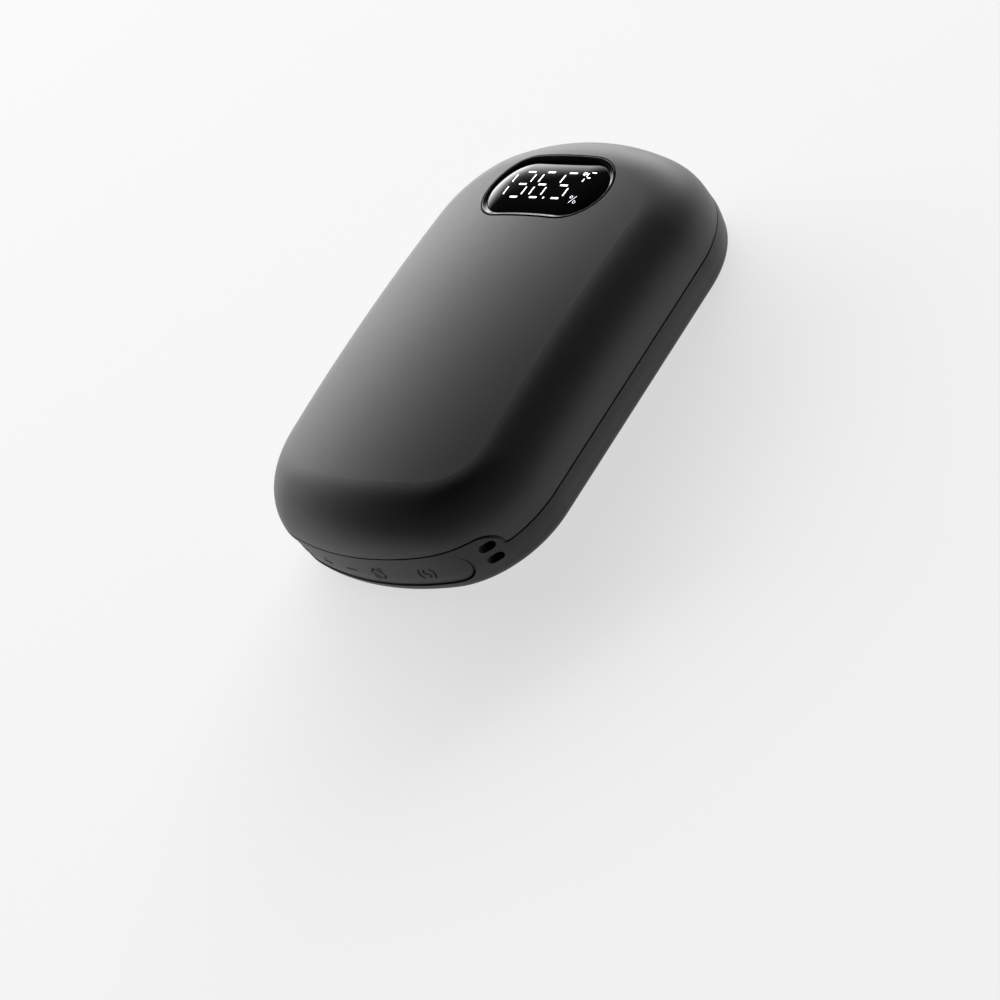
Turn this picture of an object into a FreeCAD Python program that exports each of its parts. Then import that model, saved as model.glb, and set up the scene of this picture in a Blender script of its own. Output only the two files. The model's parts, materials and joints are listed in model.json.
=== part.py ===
import FreeCAD, Part
import math
import os
import re

import Sketcher

# Rechargeable hand warmer, millimetres.
# It lies on its heating plate: Z is up out of the domed front, +Y points at the display end,
# -Y at the key end, and the origin is under the middle of the plate.

SIZES = {
    # Case form
    "body_length": "90", "body_width": "61", "body_height": "21.5",
    "corner_radius": "19", "end_radius": "65",
    "crown_across": "100", "crown_along": "400", "shoulder_radius": "10",
    "girth_height": "5", "girth_radius": "8",
    "rim_height": "0.5", "skirt_run": "0.95", "skirt_radius": "2.4",
    "wall": "2", "cavity_radius": "1",
    # Parting line between the front shell and the rear frame
    "parting_height": "6.6", "end_parting_height": "10.3",
    "raised_left": "22.1", "raised_right": "23.9", "raised_depth": "12",
    "step_radius": "2.9", "step_foot": "0.7",
    "lip_height": "1.2", "reveal": "0.3", "lip_gap": "0.1",
    # Heating plate and what is bonded to it
    "plate_inset": "3.3", "plate_gap": "0.35", "plate_thick": "1.3",
    "plate_roll_run": "3", "plate_roll_radius": "6",
    "ring_radius": "10.4", "ring_width": "0.35", "ring_depth": "0.12",
    "film_thick": "0.2", "adhesive_margin": "0.6", "adhesive_width": "2.6", "film_gap": "0.4",
    "floor_thick": "1.4",
    "sensor_length": "2.4", "sensor_width": "1.4", "sensor_height": "0.9", "sensor_gap": "0.3",
    "sensor_offset": "12",
    # Display window
    "window_setback": "16", "window_length": "29.2", "window_width": "15.4",
    "bezel_width": "1.8", "trim_drop": "0.15", "lens_drop": "0.7", "window_seat": "1.5",
    "window_gap": "0.1", "seat_width": "0.7", "display_gap": "0.1",
    "display_rim": "0.15", "display_depth": "4.6",
    "digit_height": "6", "digit_width": "3.2", "digit_pitch": "5.1", "digit_start": "-10.6",
    "segment_width": "0.6", "segment_split": "0.2", "segment_depth": "1.2",
    "sign_height": "1.9", "sign_width": "1.2", "sign_stroke": "0.32", "sign_place": "8.8",
    "sign_rise": "2.6", "point_place": "2.15", "degree_place": "7", "charge_dot_spread": "0.8",
    # Main board under the display
    "board_thick": "1.2", "board_length": "35", "board_width": "21", "board_back": "3.5",
    "board_post_radius": "1.7", "board_post_inset": "2.1", "board_pilot_radius": "0.65",
    "board_screw_radius": "0.6", "board_screw_length": "4", "board_head_radius": "1.2",
    "board_head_thick": "0.7", "board_hole_radius": "0.8", "post_root": "0.6",
    "chip_side": "5", "chip_height": "0.9", "coil_side": "4.4", "coil_height": "2.2",
    "jack_length": "5", "jack_width": "3", "jack_height": "2.4",
    # Charging port at the display end
    "port_height": "4.3", "port_width": "8.94", "port_tall": "3.26", "port_depth": "7.4",
    "port_sheet": "0.3", "port_gap": "0.12", "port_setback": "0.7",
    "tongue_width": "6.7", "tongue_thick": "0.7", "tongue_length": "5.2", "port_back": "1",
    "port_board_length": "18", "port_board_width": "9.5", "port_board_thick": "1",
    "port_board_gap": "1.2", "port_rib_width": "2", "port_rib_offset": "7",
    "stake_radius": "0.75", "stake_gap": "0.1", "stake_rise": "0.5",
    # Key strip on the other end
    "strip_length": "44.2", "strip_height": "6.3", "strip_level": "6.25",
    "key_recess": "0.3", "key_gap": "0.15", "key_flange_gap": "0.1", "key_flange_thick": "0.8",
    "key_flange_lap": "0.6", "key_split": "0.3", "key_travel": "0.3",
    "power_place": "-17.3", "plus_place": "-10.8", "minus_place": "-4.2",
    "vibration_place": "2.6", "heat_place": "13",
    "nib_side": "2.4",
    "switch_width": "4", "switch_tall": "3.5", "switch_depth": "1.6",
    "button_radius": "1", "button_rise": "0.7", "button_seat": "0.5", "button_gap": "0.1",
    "key_board_setback": "9.5", "key_board_thick": "1", "key_board_length": "41",
    "key_board_tall": "7.4", "key_post_width": "1.8", "key_post_wall": "0.9",
    "key_post_height": "6", "key_slot_gap": "0.1", "key_slot_depth": "1",
    # Lanyard tunnel beside the key strip
    "lanyard_bearing": "46", "lanyard_turn": "20", "lanyard_level": "6.7", "lanyard_bar": "1.1",
    "lanyard_length": "2.8", "lanyard_tall": "1.7", "lanyard_reach": "2.6", "lanyard_channel": "1.6",
    "lanyard_wall": "0.8",
    # Battery
    "battery_tape_thick": "0.3", "battery_headroom": "6.3", "battery_side_room": "7",
    "battery_end_gap": "2.5", "battery_radius": "1.2", "guard_length": "26", "guard_tall": "4",
    "guard_thick": "1", "lead_radius": "0.6", "lead_spacing": "5", "lead_bend": "2",
    "lead_reach": "0.8", "lead_end_gap": "0.15",
    # Vibration motor
    "motor_radius": "2.5", "motor_length": "10", "motor_place": "-2", "motor_wall_gap": "0.9",
    "shaft_radius": "0.5", "shaft_gap": "0.06", "shaft_grip": "2.4", "shaft_length": "6",
    "weight_length": "3", "weight_radius": "2.3", "weight_gap": "0.4",
    "boot_thick": "0.5", "boot_length": "6", "boot_gap": "0.05", "cradle_width": "1.4",
    "cradle_spacing": "4", "cradle_floor": "0.5",
    # Case screws and bosses
    "boss_radius": "2.3", "boss_wall_gap": "1.6", "boss_place": "24",
    "screw_radius": "0.8", "pilot_gap": "0.06", "screw_length": "6", "screw_head_radius": "1.5",
    "screw_head_thick": "0.85", "head_gap": "0.2", "head_sink": "0.9", "shank_gap": "0.2",
    # Room that cutting solids reach past what they cut
    "overrun": "4",
}

WORKED = {
    "half_width": "body_width / 2",
    "half_length": "body_length / 2",
    "corner_x": "half_width - corner_radius",
    "end_bow": "end_radius - half_length",
    "corner_y": "sqrt((end_radius - corner_radius)^2 - corner_x^2) - end_bow",
    "shell_inset": "0",
    "lip_inset": "wall / 2",
    "rabbet_inset": "wall / 2 - lip_gap",
    "cavity_inset": "wall",
    "key_flange_inset": "wall + key_flange_gap",
    "key_back_inset": "wall + key_flange_gap + key_flange_thick",
    "display_inset": "window_seat + display_gap",
    "pocket_inset": "plate_inset - plate_gap",
    "adhesive_inset": "plate_inset + adhesive_margin",
    "adhesive_inner_inset": "adhesive_inset + adhesive_width",
    "film_inset": "adhesive_inner_inset + film_gap",
    "roll_inset": "plate_inset - plate_roll_run",
    "floor_under": "plate_thick + film_thick",
    "floor_top": "floor_under + floor_thick",
    "skirt_slope": "skirt_run / (girth_height - rim_height)",
    "window_y": "half_length - window_setback",
    "window_sine": "window_y / crown_along",
    "window_cosine": "sqrt(1 - window_sine^2)",
    "window_z": "body_height - crown_along * (1 - window_cosine)",
    "board_top": "display_inset + display_depth",
    "board_under": "board_top + board_thick",
    "board_front": "board_width / 2 - board_back",
    "lens_length": "window_length - 2 * bezel_width",
    "lens_width": "window_width - 2 * bezel_width",
    "seat_length": "lens_length - 2 * seat_width",
    "seat_span": "lens_width - 2 * seat_width",
    "key_board_face": "key_board_setback - half_length",
    "key_board_back": "key_board_face + key_board_thick",
    "switch_face": "key_board_face - switch_depth",
    "button_face": "switch_face - button_rise",
    "key_hole_end": "key_board_face - key_slot_gap - key_post_wall - key_gap",
    "lanyard_x": "corner_x + corner_radius * sin(lanyard_bearing)",
    "lanyard_y": "-corner_y - corner_radius * cos(lanyard_bearing)",
    "lanyard_sine": "sin(lanyard_turn)",
    "lanyard_cosine": "cos(lanyard_turn)",
    "lanyard_lift": "(lanyard_bar + lanyard_tall) / 2",
    "lanyard_depth": "lanyard_reach + lanyard_channel",
    "battery_under": "floor_top + battery_tape_thick",
    "battery_thick": "body_height - wall - battery_headroom - battery_under",
    "battery_half_width": "half_width - wall - battery_side_room",
    "battery_start": "key_board_back + battery_end_gap",
    "battery_stop": "window_y - (board_width / 2 + board_back) * window_cosine - battery_end_gap",
    "guard_level": "battery_under + battery_thick / 2",
    "lead_y": "battery_stop + guard_thick + lead_reach + lead_bend",
    "lead_top": "window_z - (lead_y + lead_radius - window_y) * window_sine / window_cosine"
                " - board_under / window_cosine - lead_end_gap",
    "boss_x": "half_width - wall - boss_wall_gap - boss_radius",
    "motor_x": "half_width - wall - motor_wall_gap - motor_radius",
    "boot_radius": "motor_radius + boot_thick",
    "motor_level": "floor_top + cradle_floor + boot_radius",
    "port_face": "half_length - port_setback",
    "port_under": "port_height - port_board_thick / 2",
    "port_board_edge": "half_length - wall - port_board_gap",
}

doc = FreeCAD.newDocument("HandWarmer")
nodes = []


# Sheets: driving sizes as plain numbers, and the values worked out from them

def fill_sheet(name, cells):
    """Write one named cell per row and return the sheet."""
    sheet = doc.addObject("Spreadsheet::Sheet", name)
    for row, (alias, text) in enumerate(cells.items(), 1):
        sheet.set(f"A{row}", alias)
        sheet.set(f"B{row}", text)
        sheet.setAlias(f"B{row}", alias)
    doc.recompute()
    return sheet


def formula(text):
    """Point every size named in a formula at its cell."""
    def owner(match):
        word = match.group()
        if word in SIZES:
            return "Sizes." + word
        if word in WORKED:
            return "Worked." + word
        return word
    return re.sub(r"\b[a-z_]+\b", owner, text)


sizes = fill_sheet("Sizes", SIZES)
worked = fill_sheet("Worked", {alias: "=" + formula(text) for alias, text in WORKED.items()})


def number(alias):
    """The present value of one named size."""
    return float(sizes.get(alias) if alias in SIZES else worked.get(alias))


# Placing and joining

def bind(thing, **properties):
    """Bind properties of an object to formulas."""
    for name, text in properties.items():
        thing.setExpression(name, formula(text))
    return thing


def place(thing, x="0", y="0", z="0", axis=None, angle=None):
    """Bind an object's place, and turn it about an axis."""
    if axis:
        thing.Placement = FreeCAD.Placement(FreeCAD.Vector(), FreeCAD.Rotation(axis, 1))
        thing.setExpression(".Placement.Rotation.Angle", formula(angle))
    for letter, text in zip("xyz", (x, y, z)):
        thing.setExpression(f".Placement.Base.{letter}", formula(text))
    return thing


ALONG_X = FreeCAD.Vector(1, 0, 0)
ALONG_Z = FreeCAD.Vector(0, 0, 1)


def place_in_window(thing, across, along, out):
    """Place an object in the leaning frame of the display window."""
    return place(
        thing, across,
        f"window_y + ({along}) * window_cosine + ({out}) * window_sine",
        f"window_z - ({along}) * window_sine + ({out}) * window_cosine",
        ALONG_X, "-asin(window_sine)")


def place_in_tunnel(thing, across, inward, level):
    """Place an object in the turned frame of the lanyard tunnel."""
    return place(
        thing,
        f"lanyard_x + ({across}) * lanyard_cosine - ({inward}) * lanyard_sine",
        f"lanyard_y + ({across}) * lanyard_sine + ({inward}) * lanyard_cosine",
        level, ALONG_Z, "lanyard_turn * 1 deg")


def box(name, length, width, height):
    block = doc.addObject("Part::Box", name)
    return bind(block, Length=length, Width=width, Height=height)


def rod(name, radius, height):
    cylinder = doc.addObject("Part::Cylinder", name)
    return bind(cylinder, Radius=radius, Height=height)


def box_at(name, x, y, z):
    """A level box from three (low, high) pairs of formulas."""
    spans = [f"({high}) - ({low})" for low, high in (x, y, z)]
    return place(box(name, *spans), x[0], y[0], z[0])


def rod_up(name, radius, x, y, low, high):
    return place(rod(name, radius, f"({high}) - ({low})"), x, y, low)


def rod_along_y(name, radius, x, z, low, high):
    """A level rod whose axis runs towards +Y."""
    return place(rod(name, radius, f"({high}) - ({low})"), x, low, z, ALONG_X, "-90 deg")


def fuse(name, *shapes):
    joined = doc.addObject("Part::MultiFuse", name)
    joined.Shapes = list(shapes)
    joined.Refine = True
    return joined


def common(name, *shapes):
    shared = doc.addObject("Part::MultiCommon", name)
    shared.Shapes = list(shapes)
    return shared


def cut(name, base, *tools):
    """Take tools from a base, joining several tools first."""
    tool = tools[0] if len(tools) == 1 else fuse(name + "_tools", *tools)
    rest = doc.addObject("Part::Cut", name)
    rest.Base = base
    rest.Tool = tool
    return rest


def group(name, *things):
    bundle = doc.addObject("Part::Compound", name)
    bundle.Links = list(things)
    return bundle


def node(thing, label):
    """Name an object as a finished piece."""
    thing.Label = label
    nodes.append(thing)
    return thing


def pill_along_y(name, length, height, level, low, high):
    """A flat-sided bar with round ends in X, running along Y."""
    core = box_at(name + "_core", (f"-(({length}) - ({height})) / 2", f"(({length}) - ({height})) / 2"),
                  (low, high), (f"{level} - ({height}) / 2", f"{level} + ({height}) / 2"))
    ends = [rod_along_y(f"{name}_{side}", f"({height}) / 2", f"{sign}(({length}) - ({height})) / 2",
                        level, low, high)
            for side, sign in (("left", "-"), ("right", ""))]
    return fuse(name, core, *ends)


def pill_in_window(name, length, width, low, high):
    """A round-ended bar along the window's own normal."""
    rise = f"({high}) - ({low})"
    core = box(name + "_core", f"({length}) - ({width})", width, rise)
    place_in_window(core, f"-(({length}) - ({width})) / 2", f"-({width}) / 2", low)
    ends = []
    for side, sign in (("left", "-"), ("right", "")):
        end = rod(f"{name}_{side}", f"({width}) / 2", rise)
        ends.append(place_in_window(end, f"{sign}(({length}) - ({width})) / 2", "0", low))
    return fuse(name, core, *ends)


# Sketched outlines and the case bodies made from them

def origin_plane(body, role):
    return next(plane for plane in body.Origin.OriginFeatures if plane.Role == role)


def new_sketch(body, name, role):
    sketch = body.newObject("Sketcher::SketchObject", name)
    sketch.AttachmentSupport = (origin_plane(body, role), "")
    sketch.MapMode = "FlatFace"
    return sketch


def datum(sketch, name, text, *constraint):
    """Add a named dimension to a sketch and bind it to a formula."""
    index = sketch.addConstraint(Sketcher.Constraint(*constraint))
    sketch.renameConstraint(index, name)
    sketch.setExpression(f"Constraints.{name}", formula(text))


def outline_sketch(body, name, inset, drawn_in, height):
    """The case outline drawn in by an inset: two sides, four corners and two bowed ends."""
    side = number("half_width") - drawn_in
    corner = number("corner_radius") - drawn_in
    bowed = number("end_radius") - drawn_in
    corner_x, corner_y, bow = (number(alias) for alias in ("corner_x", "corner_y", "end_bow"))
    swing = math.atan2(corner_y + bow, corner_x)

    def arc(x, y, radius, start, stop):
        circle = Part.Circle(FreeCAD.Vector(x, y, 0), ALONG_Z, radius)
        return Part.ArcOfCircle(circle, start, stop)

    def line(x, low, high):
        return Part.LineSegment(FreeCAD.Vector(x, low, 0), FreeCAD.Vector(x, high, 0))

    half_turn = math.pi
    sketch = new_sketch(body, name, "XY_Plane")
    sketch.setExpression(".AttachmentOffset.Base.z", formula(height))
    sketch.addGeometry([
        line(side, -corner_y, corner_y),
        arc(corner_x, corner_y, corner, 0, swing),
        arc(0, -bow, bowed, swing, half_turn - swing),
        arc(-corner_x, corner_y, corner, half_turn - swing, half_turn),
        line(-side, corner_y, -corner_y),
        arc(-corner_x, -corner_y, corner, half_turn, half_turn + swing),
        arc(0, bow, bowed, half_turn + swing, 2 * half_turn - swing),
        arc(corner_x, -corner_y, corner, 2 * half_turn - swing, 2 * half_turn),
    ])
    for edge in range(8):
        sketch.addConstraint(Sketcher.Constraint("Tangent", edge, 2, (edge + 1) % 8, 1))
    for edge in (3, 5, 7):
        sketch.addConstraint(Sketcher.Constraint("Equal", 1, edge))
    sketch.addConstraint(Sketcher.Constraint("Equal", 2, 6))
    for edge in (2, 6):
        sketch.addConstraint(Sketcher.Constraint("PointOnObject", edge, 3, -2))
    for edge in (0, 4):
        sketch.addConstraint(Sketcher.Constraint("Vertical", edge))
    datum(sketch, "corner", f"corner_radius - ({inset})", "Radius", 1, corner)
    datum(sketch, "bowed", f"end_radius - ({inset})", "Radius", 2, bowed)
    datum(sketch, "right", f"half_width - ({inset})", "DistanceX", -1, 1, 0, 1, side)
    datum(sketch, "left", f"half_width - ({inset})", "DistanceX", 4, 1, -1, 1, side)
    datum(sketch, "far_bow", "end_bow", "DistanceY", 2, 3, -1, 1, bow)
    datum(sketch, "near_bow", "end_bow", "DistanceY", -1, 1, 6, 3, bow)
    return sketch


def pad(body, sketch, name, length, reverse=False):
    feature = body.newObject("PartDesign::Pad", name)
    feature.Profile = sketch
    feature.Reversed = reverse
    return bind(feature, Length=length)


def round_edges(body, feature, name, radius, chosen):
    """Round the edges of a body's last feature that a test picks out."""
    doc.recompute()
    edges = [f"Edge{index}" for index, edge in enumerate(feature.Shape.Edges, 1) if chosen(edge)]
    fillet = body.newObject("PartDesign::Fillet", name)
    fillet.Base = (feature, edges)
    return bind(fillet, Radius=radius)


def all_heights(edge, test):
    return all(test(vertex.Point.z) for vertex in edge.Vertexes)


def near(value, target):
    return abs(value - target) < 1e-5


def crown_sketch(body, name, inset):
    """The section above the crown's arc, with the line it swings about along the length."""
    across = number("crown_across") - number(inset)
    top = number("body_height") - number(inset)
    reach = number("half_width") + number("overrun")
    clear = top + number("overrun")
    drop = across - top
    swing = math.asin(reach / across)
    ends = [FreeCAD.Vector(sign * reach, across * math.cos(swing) - drop, 0) for sign in (1, -1)]
    tops = [FreeCAD.Vector(sign * reach, clear, 0) for sign in (1, -1)]
    pivot = number("body_height") - number("crown_along")
    circle = Part.Circle(FreeCAD.Vector(0, -drop, 0), ALONG_Z, across)
    sketch = new_sketch(body, name, "XZ_Plane")
    sketch.addGeometry([
        Part.ArcOfCircle(circle, math.pi / 2 - swing, math.pi / 2 + swing),
        Part.LineSegment(ends[1], tops[1]),
        Part.LineSegment(tops[1], tops[0]),
        Part.LineSegment(tops[0], ends[0]),
    ])
    for edge in range(4):
        sketch.addConstraint(Sketcher.Constraint("Coincident", edge, 2, (edge + 1) % 4, 1))
    sketch.addConstraint(Sketcher.Constraint("PointOnObject", 0, 3, -2))
    for edge in (1, 3):
        sketch.addConstraint(Sketcher.Constraint("Vertical", edge))
    sketch.addConstraint(Sketcher.Constraint("Horizontal", 2))
    datum(sketch, "across", f"crown_across - {inset}", "Radius", 0, across)
    datum(sketch, "drop", "crown_across - body_height", "DistanceY", 0, 3, -1, 1, drop)
    datum(sketch, "right", "half_width + overrun", "DistanceX", -1, 1, 2, 2, reach)
    datum(sketch, "left", "half_width + overrun", "DistanceX", 2, 1, -1, 1, reach)
    datum(sketch, "clear", f"body_height - {inset} + overrun", "DistanceY", -1, 1, 2, 1, clear)
    axis = Part.LineSegment(FreeCAD.Vector(-reach, pivot, 0), FreeCAD.Vector(reach, pivot, 0))
    swing_line = sketch.addGeometry(axis, True)
    sketch.addConstraint(Sketcher.Constraint("Horizontal", swing_line))
    datum(sketch, "axis_left", "half_width + overrun", "DistanceX", swing_line, 1, -1, 1, reach)
    datum(sketch, "axis_right", "half_width + overrun", "DistanceX", -1, 1, swing_line, 2, reach)
    datum(sketch, "pivot", "crown_along - body_height", "DistanceY", swing_line, 1, -1, 1, -pivot)
    return sketch


def case_body(name, inset, base, base_edge):
    """The whole case form drawn in by an inset, from a base level up to the crown."""
    body = doc.addObject("PartDesign::Body", name)
    girth = number("girth_height")
    foot = number(base)
    drawn_in = number(inset)
    tapered = drawn_in + number("skirt_slope") * (girth - foot)
    low = outline_sketch(body, name + "_foot", f"{inset} + skirt_slope * (girth_height - {base})",
                         tapered, base)
    mid = outline_sketch(body, name + "_girth", inset, drawn_in, "girth_height")
    skirt = body.newObject("PartDesign::AdditiveLoft", name + "_skirt")
    skirt.Profile = low
    skirt.Sections = [mid]
    skirt.Ruled = True
    sides = outline_sketch(body, name + "_sides", inset, drawn_in, "girth_height")
    pad(body, sides, name + "_wall", f"body_height - {inset} - girth_height")
    crown = body.newObject("PartDesign::Groove", name + "_crown")
    crown.Profile = crown_sketch(body, name + "_arc", inset)
    crown.ReferenceAxis = (crown.Profile[0], ["Axis0"])
    crown.Midplane = True
    bind(crown, Angle="4 * asin(half_length / crown_along)")
    shoulder = round_edges(body, crown, name + "_shoulder", f"shoulder_radius - {inset}",
                           lambda edge: all_heights(edge, lambda z: z > girth and not near(z, girth)))
    edge = round_edges(body, shoulder, name + "_edge", base_edge,
                       lambda edge: all_heights(edge, lambda z: near(z, foot)))
    round_edges(body, edge, name + "_bend", f"girth_radius - {inset}",
                lambda edge: all_heights(edge, lambda z: near(z, girth)))
    return body


def slab(name, inset, low, high):
    """A flat sheet with the case outline drawn in by an inset."""
    body = doc.addObject("PartDesign::Body", name)
    sketch = outline_sketch(body, name + "_outline", inset, number(inset), low)
    pad(body, sketch, name + "_pad", f"({high}) - ({low})")
    return body


def slot_body(name, length, tall, depth):
    """A round-ended slot, long in X and tall in Z, running from the origin towards +Y."""
    body = doc.addObject("PartDesign::Body", name)
    radius = number(tall) / 2
    reach = number(length) / 2 - radius
    sketch = new_sketch(body, name + "_section", "XZ_Plane")
    quarter = math.pi / 2

    def end(sign, start):
        circle = Part.Circle(FreeCAD.Vector(sign * reach, 0, 0), ALONG_Z, radius)
        return Part.ArcOfCircle(circle, start, start + 2 * quarter)

    def side(sign):
        return Part.LineSegment(FreeCAD.Vector(-sign * reach, -sign * radius, 0),
                                FreeCAD.Vector(sign * reach, -sign * radius, 0))

    sketch.addGeometry([side(1), end(1, -quarter), side(-1), end(-1, quarter)])
    for edge in range(4):
        sketch.addConstraint(Sketcher.Constraint("Tangent", edge, 2, (edge + 1) % 4, 1))
    for edge in (1, 3):
        sketch.addConstraint(Sketcher.Constraint("PointOnObject", edge, 3, -1))
    datum(sketch, "round", f"{tall} / 2", "Radius", 1, radius)
    datum(sketch, "right", f"({length} - {tall}) / 2", "DistanceX", -1, 1, 1, 3, reach)
    datum(sketch, "left", f"({length} - {tall}) / 2", "DistanceX", 3, 3, -1, 1, reach)
    pad(body, sketch, name + "_pad", depth, reverse=True)
    return body


def parting_block(name, grow):
    """All that lies below the parting line: low round the sides, raised at the key end."""
    side = box_at(name + "_side", ("-half_width - overrun", "half_width + overrun"),
                  ("-half_length - overrun", "half_length + overrun"),
                  ("-overrun", f"parting_height + {grow}"))
    end = box_at(name + "_end",
                 (f"-raised_left - step_radius - {grow}", f"raised_right + step_radius + {grow}"),
                 ("-half_length - overrun", f"raised_depth - half_length + {grow}"),
                 ("-overrun", f"end_parting_height + {grow}"))
    sharp = fuse(name + "_sharp", side, end)
    doc.recompute()
    lift = number(grow)
    rounds = {
        number("end_parting_height") + lift: number("step_radius"),
        number("parting_height") + lift: number("step_foot"),
    }
    steps = (-number("raised_left") - number("step_radius") - lift,
             number("raised_right") + number("step_radius") + lift)
    edges = []
    for index, edge in enumerate(sharp.Shape.Edges, 1):
        first, last = (vertex.Point for vertex in edge.Vertexes)
        on_step = any(near(first.x, step) and near(last.x, step) for step in steps)
        for level, radius in rounds.items():
            if on_step and near(first.z, level) and near(last.z, level):
                edges.append((index, radius, radius))
    soft = doc.addObject("Part::Fillet", name)
    soft.Base = sharp
    soft.Edges = edges
    return soft


# Case forms at the insets that the pieces need

case = case_body("case_form", "shell_inset", "rim_height", "skirt_radius")
lip_form = case_body("lip_form", "lip_inset", "floor_top", "cavity_radius")
rabbet_form = case_body("rabbet_form", "rabbet_inset", "floor_top", "cavity_radius")
cavity = case_body("cavity_form", "cavity_inset", "floor_top", "cavity_radius")
trim_form = case_body("trim_form", "trim_drop", "floor_top", "cavity_radius")
lens_form = case_body("lens_form", "lens_drop", "floor_top", "cavity_radius")
seat_form = case_body("seat_form", "window_seat", "floor_top", "cavity_radius")
display_form = case_body("display_form", "display_inset", "floor_top", "cavity_radius")
key_form = case_body("key_form", "key_recess", "floor_under", "cavity_radius")
flange_form = case_body("flange_form", "key_flange_inset", "floor_top", "cavity_radius")
key_back_form = case_body("key_back_form", "key_back_inset", "floor_top", "cavity_radius")

frame_block = parting_block("frame_block", "shell_inset")
reveal_block = parting_block("reveal_block", "reveal")
lip_block = parting_block("lip_block", "lip_height")


# Front shell: dome, window seat, board posts and screw bosses

SIDES = (("left", "-"), ("right", ""))
POSTS = [(side + end, f"{sign}(board_length / 2 - board_post_inset)", along)
         for side, sign in SIDES
         for end, along in (("_near", "-board_width / 2 - board_back + board_post_inset"),
                            ("_far", "board_front - board_post_inset"))]
BOSSES = [(side + end, f"{sign}boss_x", f"{way}boss_place")
          for side, sign in SIDES for end, way in (("_near", "-"), ("_far", ""))]


def rods_on_posts(name, radius, low, high):
    """One rod on each board post's axis, between two depths below the window's middle."""
    rods = []
    for spot, across, along in POSTS:
        pin = rod(f"{name}_{spot}", radius, f"({high}) - ({low})")
        rods.append(place_in_window(pin, across, along, low))
    return rods


def rods_on_bosses(name, radius, low, high):
    """One upright rod on each case screw's axis."""
    return [rod_up(f"{name}_{spot}", radius, x, y, low, high) for spot, x, y in BOSSES]


shell_rabbet = common("shell_rabbet", rabbet_form, lip_block)
shell_wall = cut("shell_wall", case, reveal_block, shell_rabbet, cavity)
board_posts = rods_on_posts("board_post", "board_post_radius", "-board_top", "-wall - post_root")
boss_rods = fuse("boss_rods", *rods_on_bosses("boss", "boss_radius", "floor_top", "body_height"))
bosses = common("bosses", boss_rods, lip_form)
window_bore = pill_in_window("window_bore", "window_length", "window_width", "-overrun", "overrun")
window_well = cut("window_well", window_bore, seat_form)
window_hole = pill_in_window("window_hole", "seat_length", "seat_span", "-overrun", "overrun")
pilots = rods_on_posts("board_pilot", "board_pilot_radius", "-board_top - overrun",
                       "-board_top + board_screw_length")
boss_pilots = rods_on_bosses("boss_pilot", "screw_radius + pilot_gap", "floor_top - overrun",
                             "floor_top + screw_length")
shell_solid = fuse("shell_solid", shell_wall, *board_posts, bosses)
node(cut("shell_finished", shell_solid, window_well, window_hole, *pilots, *boss_pilots),
     "front_shell")


# Display window: bezel ring, lens, housing and lit segments

trim_block = pill_in_window("trim_block", "window_length - 2 * window_gap",
                            "window_width - 2 * window_gap", "-overrun", "overrun")
lens_bore = pill_in_window("lens_bore", "lens_length", "lens_width", "-overrun", "overrun")
trim_ring = common("trim_ring", trim_block, trim_form)
node(cut("trim_finished", trim_ring, seat_form, lens_bore), "window_trim")

lens_block = pill_in_window("lens_block", "lens_length - 2 * window_gap",
                            "lens_width - 2 * window_gap", "-overrun", "overrun")
node(cut("lens_finished", common("lens_cap", lens_block, lens_form), seat_form), "display_lens")

display_block = pill_in_window("display_block", "seat_length - 2 * display_rim",
                               "seat_span - 2 * display_rim", "-board_top", "overrun")
display_solid = common("display_solid", display_block, display_form)

# Each segment of a digit: its middle as shares of the digit's half width and half height,
# and whether it lies across or stands up
SEGMENTS = {
    "top": (0, 1, True), "middle": (0, 0, True), "bottom": (0, -1, True),
    "upper_left": (-1, 0.5, False), "upper_right": (1, 0.5, False),
    "lower_left": (-1, -0.5, False), "lower_right": (1, -0.5, False),
}
SHOWN = {
    "first": ("upper_right", "lower_right"),
    "second": ("top", "middle", "bottom", "upper_right", "lower_right"),
    "third": ("top", "middle", "bottom", "upper_left", "lower_left", "lower_right"),
    "fourth": ("top", "middle", "bottom", "upper_left", "lower_right"),
}


def lit_bar(name, across, along, length, width):
    """One light window through the top of the display housing."""
    bar = box(name, length, width, "segment_depth + overrun")
    return place_in_window(bar, f"({across}) - ({length}) / 2", f"({along}) - ({width}) / 2",
                           "-display_inset - segment_depth")


def lit_dot(name, across, along, radius):
    dot = rod(name, radius, "segment_depth + overrun")
    return place_in_window(dot, across, along, "-display_inset - segment_depth")


lit = []
for count, (digit, segments) in enumerate(SHOWN.items()):
    middle = f"(digit_start + {count} * digit_pitch)"
    for segment in segments:
        share_x, share_y, lies = SEGMENTS[segment]
        across = f"{middle} + {share_x} * (digit_width - segment_width) / 2"
        along = f"{share_y} * (digit_height - segment_width) / 2"
        bar_length = "digit_width - 2 * segment_width - 2 * segment_split"
        bar_height = "(digit_height - 3 * segment_width) / 2 - segment_split"
        spans = (bar_length, "segment_width") if lies else ("segment_width", bar_height)
        lit.append(lit_bar(f"{digit}_{segment}", across, along, *spans))
lit.append(lit_dot("decimal_point", "point_place", "(segment_width - digit_height) / 2",
                   "segment_width / 2"))
lit.append(lit_dot("degree_dot", "degree_place", "sign_rise + sign_height / 2", "sign_stroke"))
lit.append(lit_bar("scale_stem", "sign_place - sign_width / 2", "sign_rise",
                   "sign_stroke", "sign_height"))
for bar, share in (("top", 1), ("middle", 0)):
    lit.append(lit_bar(f"scale_{bar}", "sign_place + sign_stroke + segment_split",
                       f"sign_rise + {share} * (sign_height - sign_stroke) / 2",
                       "sign_width", "sign_stroke"))
lit.append(lit_bar("charge_stroke", "sign_place", "-sign_rise", "sign_stroke", "sign_height"))
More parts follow.
